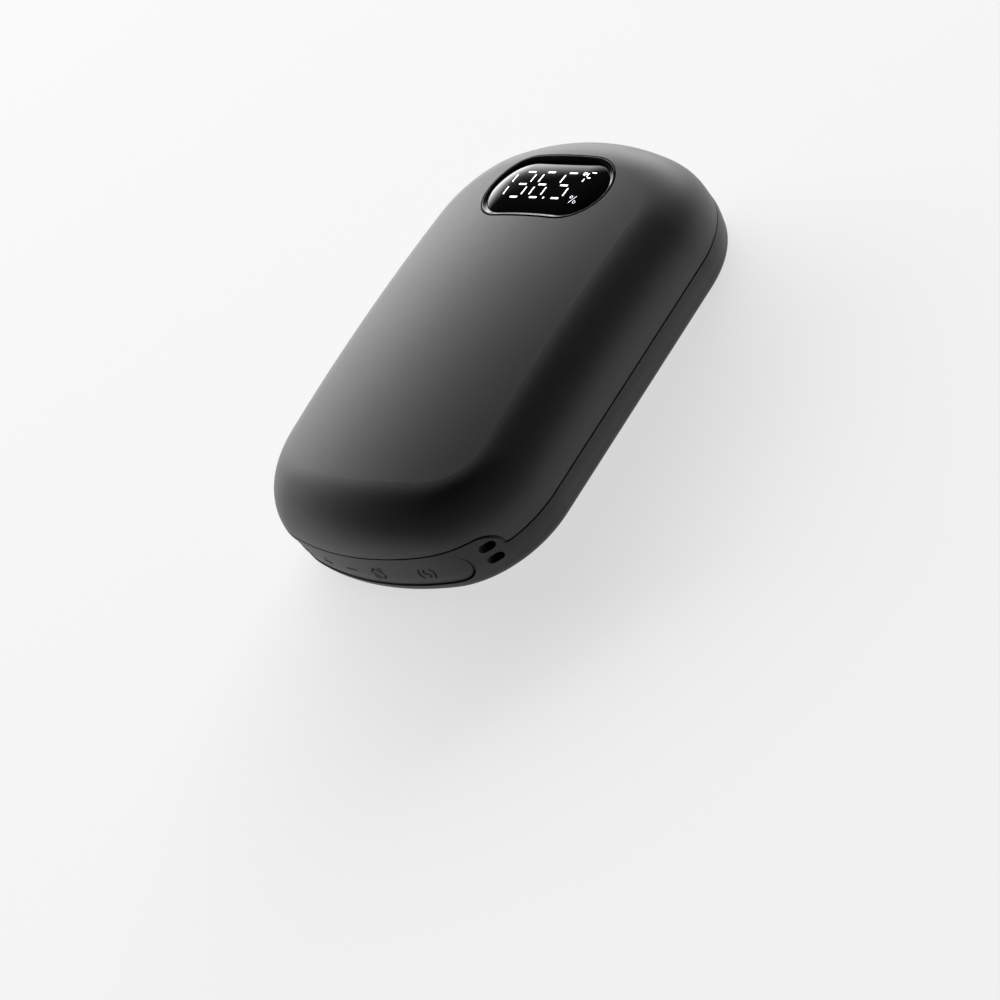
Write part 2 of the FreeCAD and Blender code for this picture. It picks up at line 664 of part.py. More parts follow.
for dot, sign in (("left", "-"), ("right", "")):
    lit.append(lit_dot(f"charge_dot_{dot}", f"sign_place {sign or '+'} charge_dot_spread",
                       f"-sign_rise {'+' if sign else '-'} sign_height / 4", "sign_stroke"))
segments_solid = [common(bar.Name + "_lit", bar, display_form) for bar in lit]
node(cut("display_cut", display_solid, *lit), "display_housing")
node(group("display_lit", *segments_solid), "display_segments")


# Main board under the display, its parts and its screws

def board_box(name, across, along, length, width, low, high):
    """A box lying in the window's frame, centred on a spot of the board."""
    block = box(name, length, width, f"({high}) - ({low})")
    return place_in_window(block, f"({across}) - ({length}) / 2", f"({along}) - ({width}) / 2", low)


board_sheet = board_box("board_sheet", "0", "-board_back", "board_length", "board_width",
                        "-board_under", "-board_top")
board_holes = rods_on_posts("board_hole", "board_hole_radius", "-board_under - overrun",
                            "-board_top + overrun")
node(cut("board_finished", board_sheet, *board_holes), "main_board")

PARTS = {
    "controller": ("-chip_side", "-board_back", "chip_side", "chip_side", "chip_height"),
    "driver": ("chip_side", "board_front - chip_side", "chip_side", "chip_side", "chip_height"),
    "coil": ("chip_side + coil_side", "-board_back", "coil_side", "coil_side", "coil_height"),
    "plug_socket": ("-2 * chip_side", "-board_back - chip_side", "jack_length", "jack_width",
                    "jack_height"),
}
chips = [board_box(name, across, along, length, width, f"-board_under - {tall}", "-board_under")
         for name, (across, along, length, width, tall) in PARTS.items()]
node(group("board_chips", *chips), "main_board_parts")

board_shanks = rods_on_posts("board_shank", "board_screw_radius", "-board_under",
                             "-board_under + board_screw_length")
board_heads = rods_on_posts("board_head", "board_head_radius", "-board_under - board_head_thick",
                            "-board_under")
board_screws = [fuse(f"board_screw_{spot[0]}", shank, head)
                for spot, shank, head in zip(POSTS, board_shanks, board_heads)]
node(group("board_screw_set", *board_screws), "main_board_screws")


# Rear frame: tub with a lip, and the seats for all it carries

frame_wall = common("frame_wall", case, frame_block)
frame_lip = common("frame_lip", lip_form, lip_block)
frame_tub = cut("frame_tub", fuse("frame_mass", frame_wall, frame_lip), cavity)

key_hole = pill_along_y("key_hole", "strip_length + 2 * key_gap", "strip_height + 2 * key_gap",
                        "strip_level", "-half_length - overrun", "key_hole_end")
plate_pocket = slab("plate_pocket", "pocket_inset", "-overrun", "floor_under")

key_posts = []
key_slots = []
for side, sign in SIDES:
    inner = "key_board_length / 2 - key_slot_depth"
    outer = "key_board_length / 2 - key_slot_depth + key_post_width"
    slot_end = "key_board_length / 2 + key_slot_gap"
    across = (inner, outer) if sign == "" else (f"-({outer})", f"-({inner})")
    slot_across = (inner, slot_end) if sign == "" else (f"-({slot_end})", f"-({inner})")
    key_posts.append(box_at(f"key_post_{side}", across,
                            ("key_board_face - key_slot_gap - key_post_wall",
                             "key_board_back + key_slot_gap + key_post_wall"),
                            ("floor_under", "floor_top + key_post_height")))
    key_slots.append(box_at(f"key_slot_{side}", slot_across,
                            ("key_board_face - key_slot_gap", "key_board_back + key_slot_gap"),
                            ("floor_top", "floor_top + key_post_height + overrun")))

tunnel_box = box("tunnel_box", "lanyard_length + 2 * lanyard_wall",
                 "lanyard_depth + lanyard_wall + overrun",
                 "lanyard_level + lanyard_lift + lanyard_tall / 2 + lanyard_wall - floor_under")
place_in_tunnel(tunnel_box, "-lanyard_length / 2 - lanyard_wall", "-overrun", "floor_under")
tunnel_block = common("tunnel_block", tunnel_box, frame_wall)
tunnel_tower = common("tunnel_tower", tunnel_box, cavity)
tunnel_slots = []
for spot, sign in (("lower", "-"), ("upper", "+")):
    slot = slot_body(f"tunnel_{spot}", "lanyard_length", "lanyard_tall", "lanyard_depth + overrun")
    tunnel_slots.append(place_in_tunnel(slot, "0", "-overrun", f"lanyard_level {sign} lanyard_lift"))
tunnel_channel = box("tunnel_channel", "lanyard_length", "lanyard_channel",
                     "2 * lanyard_lift")
place_in_tunnel(tunnel_channel, "-lanyard_length / 2", "lanyard_reach", "lanyard_level - lanyard_lift")

port_ribs = []
stakes = []
for side, sign in SIDES:
    low, high = "port_rib_offset - port_rib_width / 2", "port_rib_offset + port_rib_width / 2"
    across = (low, high) if sign == "" else (f"-({high})", f"-({low})")
    port_ribs.append(box_at(f"port_rib_{side}", across,
                            ("port_board_edge - port_board_width", "port_board_edge"),
                            ("floor_under", "port_under")))
    stakes.append(rod_up(f"stake_{side}", "stake_radius", f"{sign}port_rib_offset",
                         "port_board_edge - port_board_width / 2", "floor_under",
                         "port_under + port_board_thick + stake_rise"))
port_hole = pill_along_y("port_hole", "port_width + 2 * port_gap", "port_tall + 2 * port_gap",
                         "port_height", "port_face - port_depth - port_gap", "half_length + overrun")

cradles = []
for side, sign in SIDES:
    middle = f"motor_place {sign or '+'} cradle_spacing / 2"
    cradles.append(box_at(f"cradle_{side}", ("motor_x - boot_radius", "half_width - wall / 2"),
                          (f"{middle} - cradle_width / 2", f"{middle} + cradle_width / 2"),
                          ("floor_under", "motor_level")))
cradle_bore = rod_along_y("cradle_bore", "boot_radius + boot_gap", "motor_x", "motor_level",
                          "motor_place - motor_length", "motor_place + motor_length")

screw_bores = rods_on_bosses("screw_bore", "screw_radius + shank_gap", "-overrun", "floor_top + overrun")
head_bores = rods_on_bosses("head_bore", "screw_head_radius + head_gap", "-overrun",
                            "floor_under + head_sink")
sensor_hole = box_at("sensor_hole", ("-sensor_length / 2 - sensor_gap", "sensor_length / 2 + sensor_gap"),
                     ("-sensor_offset - sensor_width / 2 - sensor_gap",
                      "-sensor_offset + sensor_width / 2 + sensor_gap"),
                     ("-overrun", "floor_top + overrun"))
frame_solid = fuse("frame_solid", frame_tub, *key_posts, tunnel_block, tunnel_tower, *port_ribs,
                   *stakes, *cradles)
node(cut("frame_finished", frame_solid, plate_pocket, key_hole, *key_slots, *tunnel_slots, tunnel_channel,
         port_hole, cradle_bore, *screw_bores, *head_bores, sensor_hole), "rear_frame")

shanks = rods_on_bosses("case_shank", "screw_radius", "floor_under + head_sink",
                        "floor_under + head_sink + screw_length - pilot_gap")
heads = rods_on_bosses("case_head", "screw_head_radius",
                       "floor_under + head_sink - screw_head_thick", "floor_under + head_sink")
case_screws = [fuse(f"case_screw_{spot[0]}", shank, head)
               for spot, shank, head in zip(BOSSES, shanks, heads)]
node(group("case_screw_set", *case_screws), "case_screws")


# Heating plate with rolled edges and its bonded layers

plate_roll = slab("plate_roll", "roll_inset", "0", "plate_roll_radius + overrun")
round_edges(plate_roll, plate_roll.Tip, "plate_roll_edge", "plate_roll_radius",
            lambda edge: all_heights(edge, lambda z: near(z, 0)))
plate_sheet = slab("plate_sheet", "plate_inset", "0", "plate_thick")
plate_form = common("plate_form", plate_sheet, plate_roll)
ring_tool = cut("ring_tool",
                rod_up("ring_outer", "ring_radius + ring_width / 2", "0", "0", "-overrun", "ring_depth"),
                rod_up("ring_inner", "ring_radius - ring_width / 2", "0", "0", "-overrun", "ring_depth"))
node(cut("plate_finished", plate_form, ring_tool), "heat_plate")

adhesive_sheet = slab("adhesive_sheet", "adhesive_inset", "plate_thick", "floor_under")
adhesive_void = slab("adhesive_void", "adhesive_inner_inset", "plate_thick - overrun",
                     "floor_under + overrun")
node(cut("adhesive_ring", adhesive_sheet, adhesive_void), "plate_adhesive")
node(slab("film_sheet", "film_inset", "plate_thick", "floor_under"), "heater_film")
node(box_at("sensor_block", ("-sensor_length / 2", "sensor_length / 2"),
            ("-sensor_offset - sensor_width / 2", "-sensor_offset + sensor_width / 2"),
            ("floor_under", "floor_under + sensor_height")), "temperature_sensor")


# Charging port: formed shell, tongue and its small board

port_tube = pill_along_y("port_tube", "port_width", "port_tall", "port_height",
                         "port_face - port_depth", "port_face")
port_bore = pill_along_y("port_bore", "port_width - 2 * port_sheet", "port_tall - 2 * port_sheet",
                         "port_height", "port_face - port_depth + port_sheet", "port_face + overrun")
node(cut("port_cup", port_tube, port_bore), "charge_port_shell")
tongue_block = box_at("tongue_block", ("-tongue_width / 2", "tongue_width / 2"),
                      ("port_face - port_depth + port_sheet",
                       "port_face - port_depth + port_sheet + port_back + tongue_length"),
                      ("port_height - tongue_thick / 2", "port_height + tongue_thick / 2"))
tongue_root = pill_along_y("tongue_root", "port_width - 2 * port_sheet", "port_tall - 2 * port_sheet",
                           "port_height", "port_face - port_depth + port_sheet",
                           "port_face - port_depth + port_sheet + port_back")
node(fuse("tongue_solid", tongue_block, tongue_root), "charge_port_tongue")
port_sheet_board = box_at("port_sheet_board", ("-port_board_length / 2", "port_board_length / 2"),
                          ("port_board_edge - port_board_width", "port_board_edge"),
                          ("port_under", "port_under + port_board_thick"))
port_notch = box_at("port_notch", ("-port_width / 2 - port_gap", "port_width / 2 + port_gap"),
                    ("port_face - port_depth - port_gap", "port_board_edge + overrun"),
                    ("port_under - overrun", "port_under + port_board_thick + overrun"))
stake_holes = [rod_up(f"stake_hole_{side}", "stake_radius + stake_gap", f"{sign}port_rib_offset",
                      "port_board_edge - port_board_width / 2", "port_under - overrun",
                      "port_under + port_board_thick + overrun")
               for side, sign in SIDES]
node(cut("port_board_finished", port_sheet_board, port_notch, *stake_holes), "charge_board")


# Key strip: five keys in one slot, each with its own switch behind it

KEYS = ("power", "plus", "minus", "vibration", "heat")
strip_bar = pill_along_y("strip_bar", "strip_length", "strip_height", "strip_level",
                         "-half_length - overrun", "key_hole_end - key_gap")
strip_face = common("strip_face", strip_bar, key_form)
flange_box = box_at("flange_box",
                    ("-(strip_length - strip_height) / 2", "(strip_length - strip_height) / 2"),
                    ("-half_length - overrun", "key_hole_end - key_gap"),
                    ("strip_level", "strip_level + strip_height / 2 + key_flange_lap"))
strip_flange = common("strip_flange", flange_box, flange_form)
strip = cut("strip", fuse("strip_mass", strip_face, strip_flange), key_back_form)

EDGES = ["-strip_length / 2 - overrun"]
EDGES += [f"({left}_place + {right}_place) / 2" for left, right in zip(KEYS, KEYS[1:])]
EDGES += ["strip_length / 2 + overrun"]
switches = []
for key, low, high in zip(KEYS, EDGES, EDGES[1:]):
    spot = f"{key}_place"
    span = box_at(f"{key}_span", (f"{low} + key_split / 2", f"{high} - key_split / 2"),
                  ("-half_length - overrun", "0"), ("-overrun", "body_height"))
    nib_box = box_at(f"{key}_nib_box", (f"{spot} - nib_side / 2", f"{spot} + nib_side / 2"),
                     ("-half_length", "button_face"),
                     ("strip_level - nib_side / 2", "strip_level + nib_side / 2"))
    cap = common(f"{key}_cap", strip, span)
    nib = common(f"{key}_nib", nib_box, key_form)
    node(fuse(f"{key}_solid", cap, nib), f"{key}_key")
    plunger = rod_along_y(f"{key}_rod", "button_radius", spot, "strip_level", "button_face",
                          "switch_face + button_seat")
    node(plunger, f"{key}_plunger")
    housing = box_at(f"{key}_switch_box", (f"{spot} - switch_width / 2", f"{spot} + switch_width / 2"),
                     ("switch_face", "key_board_face"),
                     ("strip_level - switch_tall / 2", "strip_level + switch_tall / 2"))
    bore = rod_along_y(f"{key}_switch_bore", "button_radius + button_gap", spot, "strip_level",
                       "switch_face - overrun", "switch_face + button_seat + key_travel + button_gap")
    switches.append(cut(f"{key}_switch", housing, bore))
node(group("switch_set", *switches), "switch_bodies")
node(box_at("key_board_sheet", ("-key_board_length / 2", "key_board_length / 2"),
            ("key_board_face", "key_board_back"), ("floor_top", "floor_top + key_board_tall")),
     "key_board")


# Battery on its tape, with its guard board and two leads to the main board

battery_block = box_at("battery_block", ("-battery_half_width", "battery_half_width"),
                       ("battery_start", "battery_stop"),
                       ("battery_under", "battery_under + battery_thick"))
doc.recompute()
battery_soft = doc.addObject("Part::Fillet", "battery_soft")
battery_soft.Base = battery_block
battery_soft.Edges = [(index, number("battery_radius"), number("battery_radius"))
                      for index in range(1, len(battery_block.Shape.Edges) + 1)]
node(battery_soft, "battery_cell")
tape_edge = "battery_half_width - 2 * battery_radius"
node(box_at("tape_sheet", (f"-({tape_edge})", tape_edge),
            ("battery_start + 2 * battery_radius", "battery_stop - 2 * battery_radius"),
            ("floor_top", "battery_under")), "battery_tape")
node(box_at("guard_sheet", ("-guard_length / 2", "guard_length / 2"),
            ("battery_stop", "battery_stop + guard_thick"),
            ("guard_level - guard_tall / 2", "guard_level + guard_tall / 2")), "battery_guard_board")


def battery_lead(name, x):
    """A wire that leaves the guard board level, bends up once and ends under the main board."""
    start = "battery_stop + guard_thick"
    level_run = rod_along_y(f"{name}_run", "lead_radius", x, "guard_level", start, f"{start} + lead_reach")
    bend = doc.addObject("Part::Torus", f"{name}_bend")
    bind(bend, Radius1="lead_bend", Radius2="lead_radius")
    bend.Angle3 = 90
    place(bend, x, f"{start} + lead_reach", "guard_level + lead_bend",
          FreeCAD.Vector(0, 1, 0), "90 deg")
    rise = rod_up(f"{name}_rise", "lead_radius", x, f"{start} + lead_reach + lead_bend",
                  "guard_level + lead_bend", "lead_top")
    return fuse(f"{name}_wire", level_run, bend, rise)


node(battery_lead("lead_plus", "-lead_spacing / 2"), "battery_lead_red")
node(battery_lead("lead_minus", "lead_spacing / 2"), "battery_lead_black")


# Vibration motor in a rubber boot, with its shaft and off-centre weight

can_front = "(motor_place - motor_length / 2)"
motor_body = rod_along_y("motor_body", "motor_radius", "motor_x", "motor_level", can_front,
                         "motor_place + motor_length / 2")
shaft_bore = rod_along_y("shaft_bore", "shaft_radius + shaft_gap", "motor_x", "motor_level",
                         f"{can_front} - overrun", f"{can_front} + shaft_grip + shaft_gap")
node(cut("motor_shell", motor_body, shaft_bore), "motor_can")
boot_body = rod_along_y("boot_body", "boot_radius", "motor_x", "motor_level",
                        "motor_place - boot_length / 2", "motor_place + boot_length / 2")
boot_bore = rod_along_y("boot_bore", "motor_radius", "motor_x", "motor_level",
                        "motor_place - boot_length", "motor_place + boot_length")
node(cut("boot_ring", boot_body, boot_bore), "motor_boot")
shaft = rod_along_y("shaft_rod", "shaft_radius", "motor_x", "motor_level",
                    f"{can_front} + shaft_grip - shaft_length", f"{can_front} + shaft_grip")
node(shaft, "motor_shaft")
weight_low = f"{can_front} - weight_gap - weight_length"
weight_high = f"{can_front} - weight_gap"
half_disc = rod_along_y("half_disc", "weight_radius", "motor_x", "motor_level", weight_low, weight_high)
half_disc.Angle = 180
hub = rod_along_y("weight_hub", "2 * shaft_radius", "motor_x", "motor_level", weight_low, weight_high)
weight_bore = rod_along_y("weight_bore", "shaft_radius", "motor_x", "motor_level",
                          f"{weight_low} - overrun", f"{weight_high} + overrun")
node(cut("weight_solid", fuse("weight_mass", half_disc, hub), weight_bore), "motor_weight")


# Check every object, then write one file for each piece

doc.recompute()
for thing in doc.Objects:
    if "Invalid" in thing.State or "Error" in thing.State:
        raise RuntimeError(f"{thing.Name} failed: {thing.State}")
for piece in nodes:
    if piece.Shape.isNull() or not piece.Shape.isValid():
        raise RuntimeError(f"{piece.Label} has no valid shape")
os.makedirs("parts", exist_ok=True)
for piece in nodes:
    piece.Shape.exportStep(f"parts/{piece.Label}.step")
    print(f"{piece.Label}: {len(piece.Shape.Solids)} solids, {piece.Shape.Volume:.1f} mm3")
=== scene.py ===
import json
import logging
import math
from dataclasses import dataclass, field
from enum import Enum
from typing import Any, Callable, Sequence

import bmesh
import bpy
from mathutils import Matrix, Vector
from mathutils.bvhtree import BVHTree


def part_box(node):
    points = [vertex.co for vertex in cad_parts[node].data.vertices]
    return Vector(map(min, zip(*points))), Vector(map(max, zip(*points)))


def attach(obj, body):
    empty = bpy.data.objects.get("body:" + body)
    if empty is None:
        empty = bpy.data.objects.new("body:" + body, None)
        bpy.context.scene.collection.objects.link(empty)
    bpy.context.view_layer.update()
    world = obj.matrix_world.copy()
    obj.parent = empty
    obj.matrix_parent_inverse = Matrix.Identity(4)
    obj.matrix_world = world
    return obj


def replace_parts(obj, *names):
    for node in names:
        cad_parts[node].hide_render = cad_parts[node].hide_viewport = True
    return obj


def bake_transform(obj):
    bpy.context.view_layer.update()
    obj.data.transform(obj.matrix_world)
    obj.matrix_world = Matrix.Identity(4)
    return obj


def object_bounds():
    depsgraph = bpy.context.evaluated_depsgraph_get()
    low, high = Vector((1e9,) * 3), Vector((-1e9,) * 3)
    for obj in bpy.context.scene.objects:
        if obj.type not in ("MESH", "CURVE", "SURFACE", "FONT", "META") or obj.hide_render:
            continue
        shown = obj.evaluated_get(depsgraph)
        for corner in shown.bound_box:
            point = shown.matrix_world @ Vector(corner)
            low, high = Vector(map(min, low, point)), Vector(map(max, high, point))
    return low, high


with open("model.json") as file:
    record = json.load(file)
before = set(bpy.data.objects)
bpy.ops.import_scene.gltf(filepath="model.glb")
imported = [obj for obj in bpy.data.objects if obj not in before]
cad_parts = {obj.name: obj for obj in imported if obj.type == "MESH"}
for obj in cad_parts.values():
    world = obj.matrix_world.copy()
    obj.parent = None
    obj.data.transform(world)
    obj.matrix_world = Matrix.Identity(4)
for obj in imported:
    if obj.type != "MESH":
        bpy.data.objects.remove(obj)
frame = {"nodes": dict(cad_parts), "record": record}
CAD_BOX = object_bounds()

log = logging.getLogger("hand_warmer")

MM = 0.001
CASE = "case"
SNAP = 1e-7  # a cut this near to a vertex, in metres, goes through it
WAVE_PERIOD = 0.31  # period of the wave texture at a scale of 1
Color = tuple[float, float, float]


class Key(Enum):
    """The five keys of the strip, from the left as the front is seen."""

    POWER = "power"
    PLUS = "plus"
    MINUS = "minus"
    VIBRATION = "vibration"
    HEAT = "heat"

    @property
    def node(self) -> str:
        """The key's solid in the frame."""
        return f"{self.value}_key"

    @property
    def body(self) -> str:
        """The moving body that the key belongs to."""
        return f"{self.value}_button"

    @property
    def spot(self) -> Vector:
        """The middle of the switch plunger behind the key."""
        low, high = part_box(f"{self.value}_plunger")
        return (low + high) / 2


class Bar(Enum):
    """One bar of a digit: its middle in half widths and half heights, and whether it lies across."""

    TOP = (0.0, 1.0, True)
    MIDDLE = (0.0, 0.0, True)
    BOTTOM = (0.0, -1.0, True)
    UPPER_LEFT = (-1.0, 0.5, False)
    UPPER_RIGHT = (1.0, 0.5, False)
    LOWER_LEFT = (-1.0, -0.5, False)
    LOWER_RIGHT = (1.0, -0.5, False)


ONE = (Bar.UPPER_RIGHT, Bar.LOWER_RIGHT)
THREE = (Bar.TOP, Bar.MIDDLE, Bar.BOTTOM, Bar.UPPER_RIGHT, Bar.LOWER_RIGHT)
FIVE = (Bar.TOP, Bar.MIDDLE, Bar.BOTTOM, Bar.UPPER_LEFT, Bar.LOWER_RIGHT)
SIX = FIVE + (Bar.LOWER_LEFT,)


# Materials

class Shader:
    """One material's node tree, with short calls for the nodes that the finishes share."""

    def __init__(self, name: str) -> None:
        """Start a material with its surface shader and object coordinates.

        Args:
            name: The material's name.
        """
        self.material = bpy.data.materials.new(name)
        self.material.use_nodes = True
        self.tree = self.material.node_tree
        self.surface = self.tree.nodes["Principled BSDF"]
        self.place = self.add("ShaderNodeTexCoord").outputs["Object"]

    def add(self, kind: str, **settings: Any) -> bpy.types.Node:
        """Add a node.

        Args:
            kind: The node's type.
            settings: Properties to set on it.

        Returns:
            The new node.
        """
        node = self.tree.nodes.new(kind)
        for name, value in settings.items():
            setattr(node, name, value)
        return node

    def feed(self, socket: bpy.types.NodeSocket, value: Any) -> None:
        """Link an output to a socket, or set the socket to a plain value."""
        if isinstance(value, bpy.types.NodeSocket):
            self.tree.links.new(value, socket)
        else:
            socket.default_value = value

    def wire(self, kind: str, inputs: dict[Any, Any], **settings: Any) -> bpy.types.Node:
        """Add a node and feed its inputs.

        Args:
            kind: The node's type.
            inputs: Input name or number to an output socket or a plain value.
            settings: Properties to set on the node.

        Returns:
            The new node.
        """
        node = self.add(kind, **settings)
        for name, value in inputs.items():
            self.feed(node.inputs[name], value)
        return node

    def set(self, **values: Any) -> None:
        """Feed the surface shader; a socket's spaces are written as underscores."""
        for name, value in values.items():
            self.feed(self.surface.inputs[name.replace("_", " ")], value)

    def stretched(self, scale: Sequence[float]) -> bpy.types.NodeSocket:
        """Object coordinates scaled along each axis."""
        return self.wire("ShaderNodeMapping", {"Vector": self.place, "Scale": scale}).outputs[0]

    def noise(self, size: float, detail: float = 2.0, where: Any = None) -> bpy.types.NodeSocket:
        """Noise with features of about one size.

        Args:
            size: Feature size in metres.
            detail: Octaves of finer noise.
            where: Coordinates to read, or None for the object's own.

        Returns:
            The noise's value.
        """
        inputs = {"Vector": where or self.place, "Scale": 1 / size, "Detail": detail}
        return self.wire("ShaderNodeTexNoise", inputs).outputs[0]

    def between(self, value: bpy.types.NodeSocket, low: float, high: float) -> bpy.types.NodeSocket:
        """A value of 0 to 1 spread from low to high."""
        inputs = {"Value": value, "To Min": low, "To Max": high}
        return self.wire("ShaderNodeMapRange", inputs).outputs[0]

    def blend(self, share: Any, first: Color, second: Color) -> bpy.types.NodeSocket:
        """A colour that goes from the first to the second with a share of 0 to 1."""
        inputs = {0: share, 6: (*first, 1.0), 7: (*second, 1.0)}
        return self.wire("ShaderNodeMix", inputs, data_type="RGBA").outputs[2]

    def bump(self, height: bpy.types.NodeSocket, depth: float, strength: float = 0.3) -> None:
        """Raise the surface by a height of 0 to 1.

        Args:
            height: The height's value.
            depth: What a height of 1 stands for, in metres.
            strength: How much of it shows.
        """
        inputs = {"Height": height, "Distance": depth, "Strength": strength}
        self.set(Normal=self.wire("ShaderNodeBump", inputs).outputs[0])


def tinted(color: Color, factor: float) -> Color:
    """A colour made lighter or darker by a factor."""
    return tuple(min(1.0, part * factor) for part in color)


@dataclass(frozen=True)
class Finish:
    """How one kind of surface looks."""

    name: str
    color: Color
    roughness: float

    def material(self) -> bpy.types.Material:
        """This finish's material, made the first time it is asked for."""
        made = bpy.data.materials.get(self.name)
        if made is None:
            shader = Shader(self.name)
            self.dress(shader)
            made = shader.material
        return made

    def dress(self, shader: Shader) -> None:
        """Wire the finish into a new material."""
        raise NotImplementedError


@dataclass(frozen=True)
class Moulded(Finish):
    """Moulded plastic or rubber with a fine spark-eroded grain."""

    grain: float = 0.25 * MM
    depth: float = 0.004 * MM
    patch: float = 14 * MM
    mottle: float = 0.06
    play: float = 0.03
    specular: float = 0.5
    sheen: float = 0.0

    def dress(self, shader: Shader) -> None:
        """Fine grain in relief and roughness over a slow drift of tone."""
        drift = shader.noise(self.patch, 3.0)
        grain = shader.noise(self.grain, 2.0)
        dark, light = tinted(self.color, 1 - self.mottle), tinted(self.color, 1 + self.mottle)
        shader.set(
            Base_Color=shader.blend(drift, dark, light),
            Roughness=shader.between(grain, self.roughness - self.play, self.roughness + self.play),
            Specular_IOR_Level=self.specular,
            Sheen_Weight=self.sheen)
        shader.bump(grain, self.depth)


@dataclass(frozen=True)
class Polished(Finish):
    """Polished black plastic or glass with the faintest smear."""

    patch: float = 6 * MM
    lighter: float = 1.3
    smear: float = 0.015
    specular: float = 0.5

    def dress(self, shader: Shader) -> None:
        """A mirror-like skin whose roughness drifts a little."""
        drift = shader.noise(self.patch, 4.0)
        shader.set(
            Base_Color=shader.blend(drift, self.color, tinted(self.color, self.lighter)),
            Roughness=shader.between(drift, self.roughness, self.roughness + self.smear),
            Specular_IOR_Level=self.specular)


@dataclass(frozen=True)
class Anodised(Finish):
    """Bead-blasted aluminium under a dyed oxide layer."""

    pit: float = 0.18 * MM
    depth: float = 0.003 * MM
    patch: float = 20 * MM
    mottle: float = 0.06
    play: float = 0.04

    def dress(self, shader: Shader) -> None:
        """Fine pits with a slow drift of dye."""
        pits = shader.noise(self.pit, 3.0)
        drift = shader.noise(self.patch, 2.0)
        dark, light = tinted(self.color, 1 - self.mottle), tinted(self.color, 1 + self.mottle)
        shader.set(
            Base_Color=shader.blend(drift, dark, light),
            Metallic=1.0,
            Roughness=shader.between(pits, self.roughness - self.play, self.roughness + self.play))
        shader.bump(pits, self.depth)


@dataclass(frozen=True)
class Drawn(Finish):
    """Bare metal with fine lines along one axis."""

    lines: tuple[float, float, float] = (1.0, 0.04, 1.0)
    line: float = 0.12 * MM
    depth: float = 0.002 * MM
    tones: tuple[float, float] = (0.9, 1.05)
    play: float = 0.06

    def dress(self, shader: Shader) -> None:
        """Stretched noise as drawing lines."""
        streaks = shader.noise(self.line, 3.0, shader.stretched(self.lines))
        dark, light = (tinted(self.color, tone) for tone in self.tones)
        shader.set(
            Base_Color=shader.blend(streaks, dark, light),
            Metallic=1.0,
            Roughness=shader.between(streaks, self.roughness - self.play, self.roughness + self.play))
        shader.bump(streaks, self.depth)


@dataclass(frozen=True)
class Glow(Finish):
    """A lit diffuser with a slight cloud in it."""

    strength: float = 1.2
    patch: float = 1.2 * MM
    dimmer: float = 0.9

    def dress(self, shader: Shader) -> None:
        """Even light with a slight cloud in its colour."""
        cloud = shader.noise(self.patch, 1.0)
        light = shader.blend(cloud, tinted(self.color, self.dimmer), self.color)
        shader.set(Base_Color=light, Roughness=self.roughness,
                   Emission_Color=light, Emission_Strength=self.strength)


@dataclass(frozen=True)
class Laminate(Finish):
    """Circuit board: solder mask over copper tracks."""

    copper: Color = (0.10, 0.30, 0.12)
    pitch: float = 1.3 * MM
    depth: float = 0.02 * MM

    def dress(self, shader: Shader) -> None:
        """Tracks as a pattern of cells that shows through the mask."""
        cells = shader.wire("ShaderNodeTexVoronoi", {"Vector": shader.place, "Scale": 1 / self.pitch},
                            distance="MANHATTAN", feature="F1")
        tracks = shader.between(cells.outputs["Distance"], 0.0, 1.0)
        shader.set(Base_Color=shader.blend(tracks, self.copper, self.color), Roughness=self.roughness)
        shader.bump(tracks, self.depth)


@dataclass(frozen=True)
class Foil(Finish):
    """Crinkled metal foil of a pouch cell."""

    crease: float = 5 * MM
    depth: float = 0.2 * MM
    dimmer: float = 0.9
    metal: float = 0.9
    play: float = 0.15

    def dress(self, shader: Shader) -> None:
        """Soft creases over a satin metal."""
        creases = shader.noise(self.crease, 4.0)
        shader.set(
            Base_Color=shader.blend(creases, tinted(self.color, self.dimmer), self.color),
            Metallic=self.metal,
            Roughness=shader.between(creases, self.roughness, self.roughness + self.play))
        shader.bump(creases, self.depth)


@dataclass(frozen=True)
class HeaterTrack(Finish):
    """Amber film with a meandering metal track inside it."""

    track: Color = (0.32, 0.17, 0.06)
    pitch: float = 3 * MM
    wander: float = 0.6
    depth: float = 0.02 * MM

    def dress(self, shader: Shader) -> None:
        """Bands of track that wander across the film."""
        inputs = {"Vector": shader.place, "Scale": WAVE_PERIOD / self.pitch, "Distortion": self.wander}
        bands = shader.wire("ShaderNodeTexWave", inputs).outputs["Fac"]
        shader.set(Base_Color=shader.blend(bands, self.color, self.track), Roughness=self.roughness)
        shader.bump(bands, self.depth)


SHELL = Moulded("shell_satin", (0.076, 0.076, 0.077), 0.5, specular=0.5)
FRAME = Moulded("frame_satin", (0.08, 0.08, 0.081), 0.5, specular=0.3)
RUBBER = Moulded("key_silicone", (0.085, 0.085, 0.086), 0.55, specular=0.3, sheen=0.05)
# The keys' signs are engraved; their strokes are drawn dark as painted shade of the grooves.
SIGN = Moulded("sign_groove_shade", (0.006, 0.006, 0.006), 0.6, specular=0.1)
BEZEL = Polished("bezel_polish", (0.004, 0.004, 0.004), 0.12, specular=0.25)
LENS = Polished("lens_smoked", (0.002, 0.002, 0.0022), 0.05, specular=0.25)
LIGHT = Glow("segment_light", (0.93, 0.96, 1.0), 0.4)
PLATE = Anodised("plate_anodised", (0.26, 0.26, 0.265), 0.38)
ENGRAVED = Anodised("plate_engraving", (0.07, 0.07, 0.073), 0.55)
GOLD = Drawn("contact_gold", (0.80, 0.55, 0.20), 0.25)

